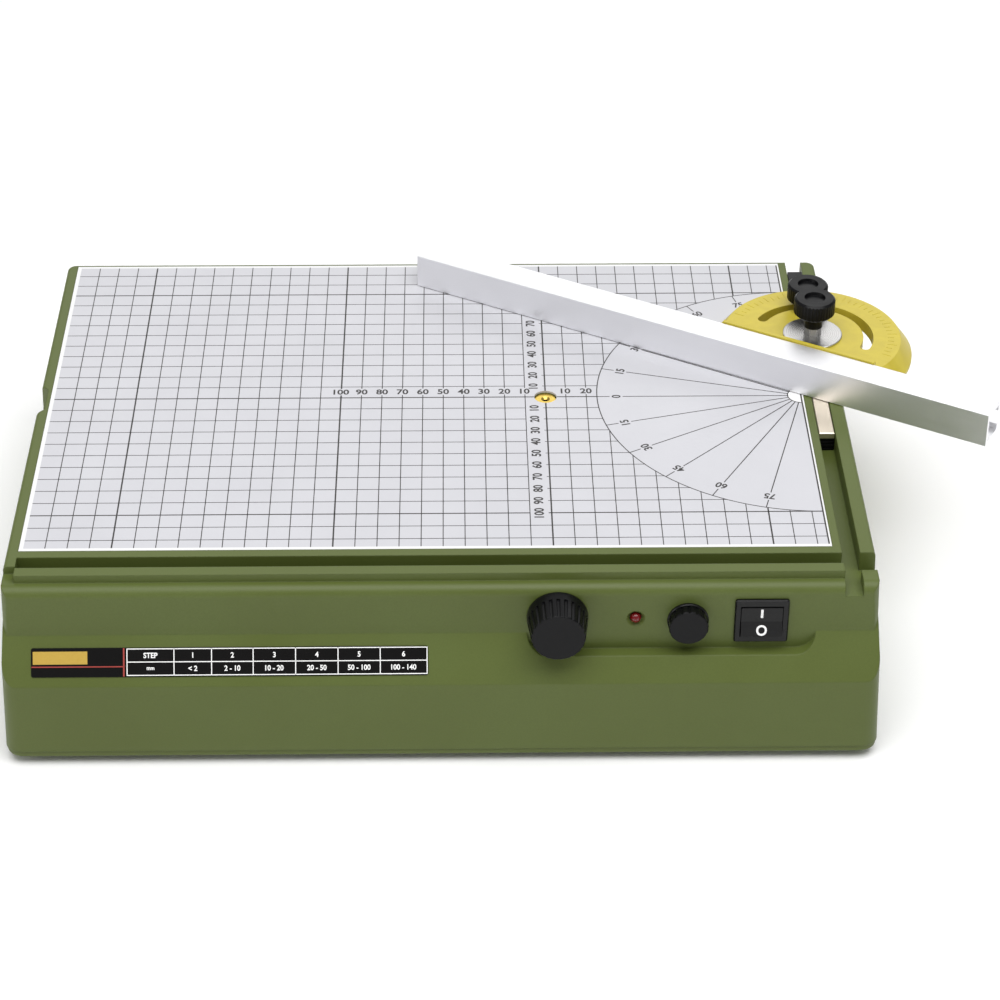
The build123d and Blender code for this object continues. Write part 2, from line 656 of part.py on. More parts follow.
ear_x = core_wide / 2 + 7
with BuildPart() as transformer_bracket:
    with BuildSketch(Plane.XY.offset(floor_z)):
        with Locations(coil_at):
            RectangleRounded(2 * ear_x + 12, core_deep, 3)
            with GridLocations(2 * ear_x, 0, 2, 1):
                Circle(pilot_r + gap, mode=Mode.SUBTRACT)
    extrude(amount=strap)
    with BuildSketch(Plane.XY.offset(core_z)):
        with Locations(coil_at):
            with GridLocations(core_wide + strap + 0.2, 0, 2, 1):
                Rectangle(strap, core_deep)
    extrude(amount=24)
save(transformer_bracket, "transformer_bracket")

ear_screws = [(coil_at[0] - ear_x, coil_at[1]), (coil_at[0] + ear_x, coil_at[1])]
board_at, board_wide, board_deep, board_thick = (40.0, 42.0), 116.0, 82.0, 1.6
standoff = 6.5
board_z = floor_z + standoff
board_holes = [(board_at[0] + i * (board_wide / 2 - 5), board_at[1] + j * (board_deep / 2 - 5))
               for i in (-1, 1) for j in (-1, 1)]


def pan_screws(places, under_head, tip):
    """Screws with the head's underside and the tip at given heights, one at each place."""
    with BuildPart() as group:
        for x, y in places:
            add(turn([(0, tip), (pilot_r - running, tip), (pilot_r - running, under_head),
                      (2.8, under_head), (2.8, under_head + 1.4), (2.2, under_head + 2.0),
                      (0, under_head + 2.0)], (x, y, 0)))
    return group


transformer_screws = pan_screws(ear_screws, floor_z + strap, floor_z + 0.1)
save(transformer_screws, "transformer_screws")

# ---------------------------------------------------------------- control board
with BuildPart() as control_board:
    with BuildSketch(Plane.XY.offset(board_z)):
        with Locations(board_at):
            Rectangle(board_wide, board_deep)
        with Locations(*board_holes):
            Circle(pilot_r + running, mode=Mode.SUBTRACT)
    extrude(amount=board_thick)
save(control_board, "control_board")

with BuildPart() as board_standoffs:
    with BuildSketch(Plane.XY.offset(floor_z)):
        with Locations(*board_holes):
            RegularPolygon(3.2, 6)
            Circle(pilot_r, mode=Mode.SUBTRACT)
    extrude(amount=standoff)
save(board_standoffs, "board_standoffs")

board_screws = pan_screws(board_holes, board_z + board_thick, floor_z + 1.0)
save(board_screws, "board_screws")

board_top = board_z + board_thick
sink_at, sink_wide, sink_high, fin_count = (board_at[0] - 14, board_at[1] + 26), 60.0, 30.0, 9
with BuildPart() as heatsink:
    with BuildSketch(Plane.XY.offset(board_top)):
        with Locations(sink_at):
            Rectangle(sink_wide, 4)
        with Locations((sink_at[0], sink_at[1] + 2 + 5)):
            with GridLocations((sink_wide - 2) / (fin_count - 1), 0, fin_count, 1):
                Rectangle(1.6, 10.4)
    extrude(amount=sink_high)
save(heatsink, "heatsink")

with BuildPart() as power_transistors:
    with BuildSketch(Plane.XY.offset(board_top + 4)):
        with Locations((sink_at[0], sink_at[1] - 2 - 2.3)):
            with GridLocations(24, 0, 2, 1):
                Rectangle(10.2, 4.6)
    extrude(amount=16)
    with BuildSketch(Plane.XY.offset(board_top)):
        with Locations((sink_at[0], sink_at[1] - 2 - 2.3)):
            with GridLocations(24, 0, 2, 1):
                with GridLocations(2.54, 0, 3, 1):
                    Rectangle(0.9, 0.6)
    extrude(amount=4)
save(power_transistors, "power_transistors")

with BuildPart() as capacitors:
    for x, y, radius, height in ((board_at[0] + 36, board_at[1] + 18, 8, 25),
                                 (board_at[0] + 36, board_at[1] - 2, 8, 25),
                                 (board_at[0] - 36, board_at[1] - 12, 5, 12)):
        add(turn([(0, board_top), (radius, board_top), (radius, board_top + height - 0.8),
                  (radius - 0.8, board_top + height), (radius - 2, board_top + height - 0.4),
                  (0, board_top + height - 0.4)], (x, y, 0)))
save(capacitors, "capacitors")

with BuildPart() as terminal_block:
    with BuildSketch(Plane.XY.offset(board_top)):
        with Locations((board_at[0] + 8, board_at[1] - board_deep / 2 + 14)):
            Rectangle(40, 11)
    extrude(amount=12)
    with BuildSketch(Plane.XY.offset(board_top + 12)):
        with Locations((board_at[0] + 8, board_at[1] - board_deep / 2 + 14)):
            with GridLocations(8, 0, 5, 1):
                Circle(2.0)
    extrude(amount=-7, mode=Mode.SUBTRACT)
save(terminal_block, "terminal_block")

# ---------------------------------------------------------------- cord gland in the rear wall
gland_origin = (gland_at[0], rear_wall_y, gland_at[1])
gland_lip, gland_in = 0.5, 3.6
with BuildPart() as cord_gland:
    add(turn([(gland_bore_r, -gland_in - 3), (gland_hole_r + 2, -gland_in - 2),
              (gland_hole_r + 2, -gland_in), (gland_hole_r - 0.1, -gland_in),
              (gland_hole_r - 0.1, gland_lip), (gland_hole_r + 3, gland_lip),
              (gland_hole_r + 2.4, gland_lip + 2.4), (gland_bore_r + 1.4, gland_lip + 4),
              (gland_bore_r, gland_lip + 4)], gland_origin, (0, 1, 0)))
save(cord_gland, "cord_gland")

# ---------------------------------------------------------------- slider in the guide groove
bar_x0, bar_x1 = groove_x0 + slider_side_gap, groove_x1 - slider_side_gap
runner_z = -groove_depth + gap
lock_at = (pivot[0], pivot[1] + slot_r)
stud_end = runner_z + 1.5
bar_screw_y = (pivot_y - 24.0, pivot_y + 46.0)
bar_screws = [(groove_x, y) for y in bar_screw_y]
with BuildPart() as slider_bar:
    add(block(bar_x0, bar_x1, slider_front, slider_back - rear_block, -slider_cap, 0))
    chamfer(slider_bar.faces().sort_by(Axis.Z)[-1].edges(), 0.4)
    with BuildSketch(Plane.XY.offset(-slider_cap)):
        with Locations(pivot, lock_at):
            Circle(stud_r + running)
        with Locations(*bar_screws):
            Circle(pilot_r + running)
    extrude(amount=slider_cap, mode=Mode.SUBTRACT)
    with BuildSketch(Plane.XY):
        with Locations(*bar_screws):
            Circle(3.0)
    extrude(amount=-1.5, taper=45, mode=Mode.SUBTRACT)
save(slider_bar, "slider_bar")

with BuildPart() as slider_runner:
    add(block(bar_x0, bar_x1, slider_front, slider_back, runner_z, -slider_cap))
    add(block(bar_x0, bar_x1, slider_back - rear_block, slider_back, -slider_cap - 1, 0))
    with BuildSketch(Plane.XY.offset(runner_z)):
        with Locations(pivot, lock_at):
            Circle(stud_r + running)
        with Locations(*bar_screws):
            Circle(pilot_r)
    extrude(amount=groove_depth - slider_cap, mode=Mode.SUBTRACT)
    # Ribs moulded into the front end.
    for rib_z in (-4.6, -6.4, -8.2):
        add(block(bar_x0 - 1, bar_x1 + 1, slider_front - 1, slider_front + 0.6, rib_z - 0.35, rib_z + 0.35),
            mode=Mode.SUBTRACT)
save(slider_runner, "slider_runner")

with BuildPart() as slider_screws:
    for x, y in bar_screws:
        add(turn([(0, runner_z + 1), (pilot_r - running, runner_z + 1), (pilot_r - running, -1.5),
                  (2.9, -0.05), (0, -0.05)], (x, y, 0)))
save(slider_screws, "slider_screws")

# ---------------------------------------------------------------- studs, washers and clamp knobs
shoulder_top = disc_top + 0.1
washer_top = shoulder_top + washer_thick
nut_height = 3.9
knob_seat = washer_top + nut_height
pivot_knob_collar = 6.6
with BuildPart() as pivot_stud:
    stud_tip = knob_seat + pivot_knob_collar + clamp_knob_height - 3
    add(turn([(0, stud_end), (stud_r, stud_end), (stud_r, 0), (shoulder_r, 0), (shoulder_r, shoulder_top),
              (stud_r, shoulder_top), (stud_r, stud_tip), (0, stud_tip)], (*pivot, 0)))
save(pivot_stud, "pivot_stud")

with BuildPart() as pivot_washer:
    add(turn([(stud_r + running, shoulder_top), (washer_r, shoulder_top), (washer_r, washer_top - 0.2),
              (washer_r - 0.3, washer_top), (stud_r + running, washer_top)], (*pivot, 0)))
save(pivot_washer, "pivot_washer")

with BuildPart() as pivot_nut:
    with BuildSketch(Plane.XY.offset(washer_top)):
        with Locations(pivot):
            RegularPolygon(4.3, 6)
            Circle(stud_r + running, mode=Mode.SUBTRACT)
    extrude(amount=nut_height)
save(pivot_nut, "pivot_nut")

lock_r = stud_r - gap
slot_width = 2 * (lock_r + gap)         # the slot of the protractor lets the lock stud pass
lock_washer_top = disc_top + gap + washer_thick
lock_collar = 2.0
lock_tip = lock_washer_top + lock_collar + clamp_knob_height - 3
with BuildPart() as lock_stud:
    add(turn([(0, stud_end), (stud_r, stud_end), (stud_r, 0), (lock_r, 0), (lock_r, lock_tip),
              (0, lock_tip)], (*lock_at, 0)))
save(lock_stud, "lock_stud")

with BuildPart() as lock_washer:
    add(turn([(lock_r + running, disc_top + gap), (6.4, disc_top + gap), (6.4, lock_washer_top),
              (lock_r + running, lock_washer_top)], (*lock_at, 0)))
save(lock_washer, "lock_washer")


def clamp_knob(place, seat, collar, bore_r):
    """A fluted knob on a collar, dished on top, with a blind hole for its stud."""
    low = seat + collar
    top = low + clamp_knob_height
    with BuildPart() as knob:
        add(turn([(bore_r, seat), (shoulder_r + 0.6, seat), (shoulder_r + 0.6, low),
                  (clamp_knob_r - 1.6, low), (clamp_knob_r, low + 1.6), (clamp_knob_r, top - 1.0),
                  (clamp_knob_r - 1.0, top), (5.2, top), (4.6, top - 1.6), (0, top - 1.6),
                  (0, top - 2.6), (bore_r, top - 2.6)], (*place, 0)))
        with BuildSketch(Plane.XY.offset(low)):
            with Locations(place):
                with PolarLocations(clamp_knob_r + 0.25, 36):
                    Circle(0.55)
        extrude(amount=clamp_knob_height, mode=Mode.SUBTRACT)
    return knob


pivot_knob = clamp_knob(pivot, knob_seat + gap, pivot_knob_collar, stud_r + running)
save(pivot_knob, "pivot_knob")
lock_knob = clamp_knob(lock_at, lock_washer_top + gap, lock_collar, lock_r + running)
save(lock_knob, "lock_knob")

# ---------------------------------------------------------------- protractor
gauge = Plane(origin=(*pivot, 0), x_dir=(cos(radians(fence_angle)), sin(radians(fence_angle)), 0),
              z_dir=(0, 0, 1))


def gauge_block(x0, x1, y0, y1, z0, z1):
    """A box in the gauge's own directions: x along the fence, y away from it."""
    return gauge.location * block(x0, x1, y0, y1, z0, z1)


def gauge_pin(x, y0, y1, radius):
    """A round pin square to the fence, at half its height, between two distances from the pivot."""
    middle = Pos(x, (y0 + y1) / 2, fixing_z) * Rot(90, 0, 0)
    return gauge.location * middle * Cylinder(radius, y1 - y0, mode=Mode.PRIVATE)


flange_front = -(fence_offset - gap)
flange_back = flange_front + flange_thick
fixing_x = 30.0
fixing_z = fence_lift + fence_height / 2
boss_top_r = washer_r + 1.0
slot_arc = CenterArc((0, 0), slot_r, 90 - slot_half_angle, 2 * slot_half_angle)
plate_under = disc_top - disc_plate
with BuildPart() as protractor:
    add(turn([(0, disc_bottom), (disc_bottom_r, disc_bottom), (disc_bottom_r, disc_bottom + disc_rim),
              (disc_top_r, disc_top), (0, disc_top)], (*pivot, 0)))
    add(turn([(0, 0), (disc_bottom_r - 4, 0), (disc_bottom_r - 4, plate_under), (0, plate_under)],
             (*pivot, 0)), mode=Mode.SUBTRACT)
    add(turn([(0, gap), (boss_top_r, gap), (boss_top_r, plate_under + 1), (0, plate_under + 1)],
             (*pivot, 0)))
    add(gauge_block(-far_out, far_out, -far_out, flange_front, -1, disc_top + 1), mode=Mode.SUBTRACT)
    add(gauge_block(-flange_left, flange_right, flange_front, flange_back, disc_bottom, flange_top))
    fillet(protractor.faces().sort_by(Axis.Z)[-1].edges().sort_by(SortBy.LENGTH)[:2], 0.6)
    with BuildSketch(gauge.offset(-1)):
        SlotArc(slot_arc, slot_width)
    extrude(amount=disc_top + 2, mode=Mode.SUBTRACT)
    with BuildSketch(gauge.offset(-1)):
        Circle(shoulder_r + running)
    extrude(amount=disc_top + 2, mode=Mode.SUBTRACT)
    for side in (-1, 1):
        add(gauge_block(side * fixing_x - 4.5, side * fixing_x + 4.5, flange_back, flange_back + 7,
                        disc_bottom - 1, disc_top + 1), mode=Mode.SUBTRACT)
        add(gauge_pin(side * fixing_x, flange_front - 1, flange_back + 1, pilot_r + gap), mode=Mode.SUBTRACT)
save(protractor, "protractor")

# ---------------------------------------------------------------- fence on its two T-nuts
nut_front = -(fence_offset + fence_lip + 2.6)
nut_back = -(fence_offset + fence_wall + gap)
with BuildPart() as fence_bar:
    start = gauge.location * Pos(-fence_left, 0, 0)
    section = Plane(origin=start.position, x_dir=gauge.y_dir, z_dir=gauge.x_dir)
    middle_y = -(fence_offset + fence_depth / 2)
    with BuildSketch(section):
        with Locations((middle_y, fixing_z)):
            Rectangle(fence_depth, fence_height)
            Rectangle(fence_depth - 2 * fence_wall, fence_height - 2 * fence_wall, mode=Mode.SUBTRACT)
        with Locations((-fence_offset, fixing_z)):
            Rectangle(3 * fence_wall, fence_height - 2 * fence_wall - 2 * fence_lip, mode=Mode.SUBTRACT)
    extrude(amount=fence_left + fence_right)
    fillet(fence_bar.edges().filter_by(Axis(start.position, gauge.x_dir)).group_by(Axis.Z)[-1], 0.5)
save(fence_bar, "fence_bar")

with BuildPart() as fence_t_nuts:
    for side in (-1, 1):
        add(gauge_block(side * fixing_x - 7, side * fixing_x + 7, nut_front, nut_back, fixing_z - 5.2,
                        fixing_z + 5.2))
        add(gauge_pin(side * fixing_x, nut_front - 1, nut_back + 1, pilot_r), mode=Mode.SUBTRACT)
save(fence_t_nuts, "fence_t_nuts")

with BuildPart() as fence_screws:
    for side in (-1, 1):
        add(gauge_pin(side * fixing_x, nut_front + 0.5, flange_back, pilot_r - running))
        add(gauge_pin(side * fixing_x, flange_back, flange_back + 2, 2.8))
save(fence_screws, "fence_screws")
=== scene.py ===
# %% [markdown]
# # A bench hot wire cutter
#
# The machine is a low plastic case with a printed table on top. A hot wire, which isn't fitted here,
# would stand on the brass bush and cut foam that is pushed past it. A mitre gauge slides in a groove on
# the right. The design's solids arrive from the CAD model in their places, so this lesson is about the
# surfaces: what each finish is, what ink is printed where, and which small pieces the eye expects.

# %% Load the frame
import json
import math

import bpy
from mathutils import Matrix, Vector


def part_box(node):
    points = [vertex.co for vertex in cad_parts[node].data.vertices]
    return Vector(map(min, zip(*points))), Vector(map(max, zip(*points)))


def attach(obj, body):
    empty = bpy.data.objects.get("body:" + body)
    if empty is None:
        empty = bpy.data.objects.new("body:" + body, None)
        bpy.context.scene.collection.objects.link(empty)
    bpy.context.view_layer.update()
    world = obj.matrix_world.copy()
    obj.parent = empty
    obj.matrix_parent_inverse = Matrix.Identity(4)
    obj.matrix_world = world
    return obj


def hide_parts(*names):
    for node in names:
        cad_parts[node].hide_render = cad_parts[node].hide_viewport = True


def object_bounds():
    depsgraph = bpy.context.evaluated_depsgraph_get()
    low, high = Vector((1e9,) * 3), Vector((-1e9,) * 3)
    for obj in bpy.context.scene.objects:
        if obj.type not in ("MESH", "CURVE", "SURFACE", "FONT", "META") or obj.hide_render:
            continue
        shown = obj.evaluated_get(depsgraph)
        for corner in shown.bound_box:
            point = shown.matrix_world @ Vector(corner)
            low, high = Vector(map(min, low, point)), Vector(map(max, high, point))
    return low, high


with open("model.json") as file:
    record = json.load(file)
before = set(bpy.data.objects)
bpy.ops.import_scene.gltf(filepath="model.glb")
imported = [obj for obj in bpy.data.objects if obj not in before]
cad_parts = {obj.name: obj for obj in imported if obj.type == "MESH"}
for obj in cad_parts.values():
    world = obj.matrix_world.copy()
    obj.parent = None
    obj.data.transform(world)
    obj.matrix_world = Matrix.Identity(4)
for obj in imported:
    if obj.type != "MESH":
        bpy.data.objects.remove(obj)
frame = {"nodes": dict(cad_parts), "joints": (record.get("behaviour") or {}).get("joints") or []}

cad_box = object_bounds()
MM = 0.001

# %% [markdown]
# ## Camera
#
# The object is looked at from the front and above, with a long lens, so that parallel edges stay nearly
# parallel. A camera in Blender looks along its own -Z, straight down, so it is pitched up from there and
# turned to its heading, with a very small roll about its own axis. The plain view transform keeps colours
# as they are set, without a film curve.

# %% Camera
camera_place = Vector((-0.0438, -1.1870, 0.7493))
heading, pitch, roll = (math.radians(a) for a in (-1.051, 34.314, 0.252))
camera = bpy.data.objects.new("camera", bpy.data.cameras.new("camera"))
bpy.context.scene.collection.objects.link(camera)
camera.data.sensor_width = 36.0
camera.data.lens = 103.22
camera.matrix_world = (Matrix.Translation(camera_place) @ Matrix.Rotation(heading, 4, "Z")
                       @ Matrix.Rotation(math.pi / 2 - pitch, 4, "X") @ Matrix.Rotation(roll, 4, "Z"))
bpy.context.scene.camera = camera
bpy.context.scene.view_settings.view_transform = "Standard"
print("camera at", tuple(camera_place), "looking", round(math.degrees(pitch), 1), "degrees down")

# %% [markdown]
# ## Helpers for finishes
#
# Every finish below is worked out from the place on the object, without pictures. A few steps come back
# in all of them: a screen colour becomes the linear one that shaders need, a node is added with its
# settings, a soft pattern of a real size in millimetres is laid on the surface, and colour, roughness or
# height then follow that pattern. Each step is one small function, so that a finish reads as a recipe.

# %% Colour and node helpers
def colour(code):
    """A screen colour such as '#59633c' as the linear red, green, blue and alpha that shaders use."""
    parts = [int(code[i:i + 2], 16) / 255 for i in (1, 3, 5)]
    return [p / 12.92 if p <= 0.04045 else ((p + 0.055) / 1.055) ** 2.4 for p in parts] + [1.0]


def add_node(tree, kind, sockets=None, **settings):
    """Add a node. In sockets, a value that is itself a socket is linked, and any other is set."""
    node = tree.nodes.new(kind)
    for name, value in settings.items():
        setattr(node, name, value)
    for name, value in (sockets or {}).items():
        if isinstance(value, bpy.types.NodeSocket):
            tree.links.new(value, node.inputs[name])
        else:
            node.inputs[name].default_value = value
    return node


def new_finish(name, code, roughness, **sockets):
    """A material with one Principled shader. Returns the material, its tree, the shader and the place
    on the object, in metres."""
    finish = bpy.data.materials.new(name)
    finish.use_nodes = True
    tree = finish.node_tree
    shader = tree.nodes["Principled BSDF"]
    shader.inputs["Base Color"].default_value = colour(code)
    shader.inputs["Roughness"].default_value = roughness
    for socket, value in sockets.items():
        shader.inputs[socket.replace("_", " ")].default_value = value
    finish.diffuse_color = colour(code)
    where = add_node(tree, "ShaderNodeTexCoord").outputs["Object"]
    return finish, tree, shader, where


def grain(tree, where, size_mm, detail=2.0, stretch=(1, 1, 1), turn=0.0, distortion=0.0):
    """A soft pattern whose blobs are about size_mm across. It is turned about Z first, and a stretch
    above 1 then draws it out along that axis."""
    placed = add_node(tree, "ShaderNodeMapping", {"Vector": where, "Rotation": (0, 0, -turn)})
    squeezed = add_node(tree, "ShaderNodeMapping", {"Vector": placed.outputs["Vector"],
                                                   "Scale": [1 / s for s in stretch]})
    noise = add_node(tree, "ShaderNodeTexNoise", {"Vector": squeezed.outputs["Vector"],
                                                  "Scale": 1 / (size_mm * MM), "Detail": detail,
                                                  "Distortion": distortion})
    return noise.outputs["Fac"]


def vary(tree, pattern, low, high, into=None):
    """Let a number or a colour run from low to high with a pattern, and into a shader's input.

    Numbers take the middle of the pattern, 0.3 to 0.7, where a noise spends nearly all its time.
    """
    if isinstance(low, float):
        run = add_node(tree, "ShaderNodeMapRange", {"Value": pattern, "From Min": 0.3, "From Max": 0.7,
                                                    "To Min": low, "To Max": high}).outputs["Result"]
    else:
        first, second = (colour(end) if isinstance(end, str) else end for end in (low, high))
        run = add_node(tree, "ShaderNodeMix", {0: pattern, 6: first, 7: second}, data_type="RGBA").outputs[2]
    if into is not None:
        tree.links.new(run, into)
    return run


def relief(tree, shader, height, depth_mm, edge_mm=0.0):
    """Raise the surface by a pattern, and round the sharp edges by edge_mm, in the shading alone."""
    bump = add_node(tree, "ShaderNodeBump", {"Height": height, "Distance": depth_mm * MM, "Strength": 1.0})
    if edge_mm:
        edge = add_node(tree, "ShaderNodeBevel", {"Radius": edge_mm * MM}, samples=4)
        tree.links.new(edge.outputs["Normal"], bump.inputs["Normal"])
    tree.links.new(bump.outputs["Normal"], shader.inputs["Normal"])


finished = set()


def give(finish, *nodes):
    """Put a finish on CAD nodes."""
    for name in nodes:
        mesh = frame["nodes"][name].data
        mesh.materials.clear()
        mesh.materials.append(finish)
    finished.update(nodes)
    print(finish.name, "->", ", ".join(nodes))


# %% [markdown]
# ## Floor, panels and world
#
# The floor is a large white plane just under the feet. Three soft panels do the lighting: a strong one
# overhead and in front, a lower one at the back, which flat tops and bare metal mirror towards a viewer in
# front, and a weak one on the left for the front of the fence. The world adds a plain white fill.

# %% Floor, panels and world
def only(*objects):
    """Leave just these objects selected, the first of them active."""
    bpy.ops.object.select_all(action="DESELECT")
    for piece in objects:
        piece.select_set(True)
    bpy.context.view_layer.objects.active = objects[0]


bench_z = cad_box[0].z
bpy.ops.object.select_all(action="DESELECT")
floor_size, floor_gap = 14.0, 0.1 * MM
bpy.ops.mesh.primitive_plane_add(size=floor_size, location=(0, 0, bench_z - floor_gap))
floor = bpy.context.active_object
floor.name = "floor"
floor_finish, floor_tree, floor_shader, floor_where = new_finish("floor_painted_white", "#fafafa", 0.8)
floor_tone = grain(floor_tree, floor_where, 400.0)
vary(floor_tree, floor_tone, "#fcfcfc", "#ffffff", floor_shader.inputs["Base Color"])
floor.data.materials.append(floor_finish)


def soft_panel(name, size, place, aim, power):
    """A rectangular area light at a place, turned towards a point."""
    light = bpy.data.lights.new(name, "AREA")
    light.shape = "RECTANGLE"
    light.size, light.size_y = size
    light.energy = power
    panel = bpy.data.objects.new(name, light)
    panel.location = place
    panel.rotation_euler = (Vector(aim) - Vector(place)).to_track_quat("-Z", "Y").to_euler()
    bpy.context.scene.collection.objects.link(panel)


soft_panel("panel_overhead", (2.4, 1.6), (0.1, -0.6, 1.9), (0, 0, 0), 46)
soft_panel("panel_back", (3.4, 1.3), (0.2, 2.3, 1.5), (0, 0, 0), 18)
soft_panel("panel_left", (1.4, 1.2), (-2.4, -1.0, 0.9), (0, 0, 0), 9)
world = bpy.data.worlds.new("studio")
bpy.context.scene.world = world
world.use_nodes = True
background = world.node_tree.nodes["Background"]
background.inputs["Color"].default_value = (1, 1, 1, 1)
background.inputs["Strength"].default_value = 0.34
print("floor at", round(bench_z / MM, 1), "mm")

# %% [markdown]
# ## Army green ABS
#
# The case and the base plate are injection moulded in ABS. The mould is spark eroded, which leaves an
# even, shallow grain about a third of a millimetre across and gives a broad, soft sheen instead of a
# clear reflection. The pits of the grain also swallow a part of the gloss, so the specular level is set
# under the usual 0.5. The colour drifts a little where the plastic flowed. Moulded edges are never knife
# sharp, so the shading rounds them by almost a millimetre. ABS has an index of refraction near 1.54.

# %% Army green ABS
case_finish, tree, shader, where = new_finish("abs_army_green_spark_eroded", "#5e6a2d", 0.42, IOR=1.54,
                                              Specular_IOR_Level=0.3)
drift = grain(tree, where, 60.0, 3.0)
fleck = grain(tree, where, 0.7, 2.0)
base = vary(tree, vary(tree, drift, 0.0, 1.0), "#55602a", "#596530")
vary(tree, vary(tree, fleck, 0.0, 0.3), base, "#4c5626", shader.inputs["Base Color"])
vary(tree, drift, 0.40, 0.47, shader.inputs["Roughness"])
relief(tree, shader, grain(tree, where, 0.38, 3.0), 0.018, 0.9)
give(case_finish, "housing", "base_plate")

# %% [markdown]
# ## Laminated work sheet
#
# The table's surface is a sheet of card under a clear plastic film. The field that carries the grid is
# printed a pale cool grey, and a border of one to two millimetres is left white, as is the small disc at
# the centre of the angle fan. The film makes a smooth, slightly wavy, semi gloss surface. The field could
# be a second piece, but it has no thickness of its own, so it is a mask worked out from the place: inside
# both limits of the field, and further from the fan's centre than the disc.

# %% Laminated work sheet
sheet_low, sheet_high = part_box("work_sheet")
border = 1.9 * MM
fan_centre = Vector((125.2 * MM, 0.0, 0.0))
fan_radius = 100.0 * MM
fan_hub = 6.5 * MM
field_left, field_right = sheet_low.x + border, fan_centre.x
field_front, field_back = sheet_low.y + border, sheet_high.y - border

sheet_finish, tree, shader, where = new_finish("card_laminated_semi_gloss", "#c2c2c7", 0.33, IOR=1.5)
apart = add_node(tree, "ShaderNodeSeparateXYZ", {"Vector": where})
within = []
for axis, low, high in (("X", field_left, field_right), ("Y", field_front, field_back)):
    middle, half = (low + high) / 2, (high - low) / 2
    within.append(add_node(tree, "ShaderNodeMath", {0: apart.outputs[axis], 1: middle, 2: half},
                           operation="COMPARE").outputs[0])
to_hub = add_node(tree, "ShaderNodeVectorMath", {0: where, 1: fan_centre}, operation="DISTANCE")
within.append(add_node(tree, "ShaderNodeMath", {0: to_hub.outputs["Value"], 1: fan_hub},
                       operation="GREATER_THAN").outputs[0])
printed = within[0]
for mask in within[1:]:
    printed = add_node(tree, "ShaderNodeMath", {0: printed, 1: mask}, operation="MULTIPLY").outputs[0]
tone = vary(tree, vary(tree, grain(tree, where, 45.0), 0.0, 1.0), "#c0c0c5", "#c4c4c9")
vary(tree, printed, "#e2e2e2", tone, shader.inputs["Base Color"])
vary(tree, grain(tree, where, 4.0), 0.30, 0.37, shader.inputs["Roughness"])
relief(tree, shader, grain(tree, where, 9.0), 0.01)
print("printed field", [round(side / MM, 1) for side in (field_right - field_left, field_back - field_front)])
give(sheet_finish, "work_sheet")

# %% [markdown]
# ## Black plastics
#
# Three blacks sit side by side. The knobs are satin ABS with a fine grain. The switch, its rocker and
# the fuse parts are smoother nylon with a tighter highlight. The label is a printed foil, the smoothest
# of them. They could share one black, but then the controls would melt into each other, because only
# gloss tells blacks apart. All three are kept low in gloss level, or a white floor would grey them.

# %% Black plastics
knob_finish, tree, shader, where = new_finish("abs_black_satin", "#0a0a0c", 0.34, IOR=1.54,
                                              Specular_IOR_Level=0.16)
vary(tree, grain(tree, where, 8.0), 0.28, 0.38, shader.inputs["Roughness"])
vary(tree, grain(tree, where, 1.2), "#08080a", "#0c0c0e", shader.inputs["Base Color"])
relief(tree, shader, grain(tree, where, 0.3, 3.0), 0.008, 0.2)
give(knob_finish, "temperature_knob", "fuse_cap", "pivot_knob", "lock_knob", "slider_runner")

nylon_finish, tree, shader, where = new_finish("nylon_black_polished_mould", "#0d0d0e", 0.24, IOR=1.53,
                                               Specular_IOR_Level=0.25)
vary(tree, grain(tree, where, 5.0), 0.20, 0.28, shader.inputs["Roughness"])
vary(tree, grain(tree, where, 3.0), "#0c0c0d", "#111112", shader.inputs["Base Color"])
relief(tree, shader, grain(tree, where, 1.5), 0.006, 0.25)
give(nylon_finish, "switch_body", "rocker", "fuse_holder", "fuse_holder_nut", "led_holder",
     "power_transistors", "terminal_block", "wire_clamp_bracket")

foil_finish, tree, shader, where = new_finish("polyester_foil_black", "#0c0b0b", 0.2, IOR=1.5,
                                              Specular_IOR_Level=0.25)
vary(tree, grain(tree, where, 12.0), 0.16, 0.24, shader.inputs["Roughness"])
vary(tree, grain(tree, where, 20.0), "#0b0a0a", "#0f0e0e", shader.inputs["Base Color"])
relief(tree, shader, grain(tree, where, 6.0), 0.01, 0.1)
give(foil_finish, "label_plate")

# %% [markdown]
# ## Yellow ABS of the protractor
#
# The swinging plate is moulded in a warm yellow. It is the same plastic as the case, with a coarser
# flow pattern: light yellow pigment shows faint clouds. Its surface is satin, with a fine grain.

# %% Yellow ABS
yellow_finish, tree, shader, where = new_finish("abs_yellow_moulded", "#c3b236", 0.4, IOR=1.54)
cloud = grain(tree, where, 7.0, 4.0, distortion=0.6)
vary(tree, vary(tree, cloud, 0.0, 1.0), "#bfad30", "#c9b83e", shader.inputs["Base Color"])
vary(tree, cloud, 0.36, 0.46, shader.inputs["Roughness"])
relief(tree, shader, grain(tree, where, 0.5, 3.0), 0.015, 0.4)
give(yellow_finish, "protractor")

# %% [markdown]
# ## Anodised aluminium
#
# The fence is an extruded bar and the slider's top a drawn strip. Both keep fine lines along their
# length from the die, drawn here about 0.25 mm apart, which is a little coarser than real ones so that
# they show. Clear anodising keeps the metal pale and mutes the mirror. The fence stands at an angle, so
# its lines are turned with it: the angle is read from the direction in which the fence slides.

# %% Anodised aluminium
joints = {joint["name"]: joint for joint in frame["joints"]}
along_fence = Vector(joints["fence_shift"]["axis"])
fence_turn = math.atan2(along_fence.y, along_fence.x)


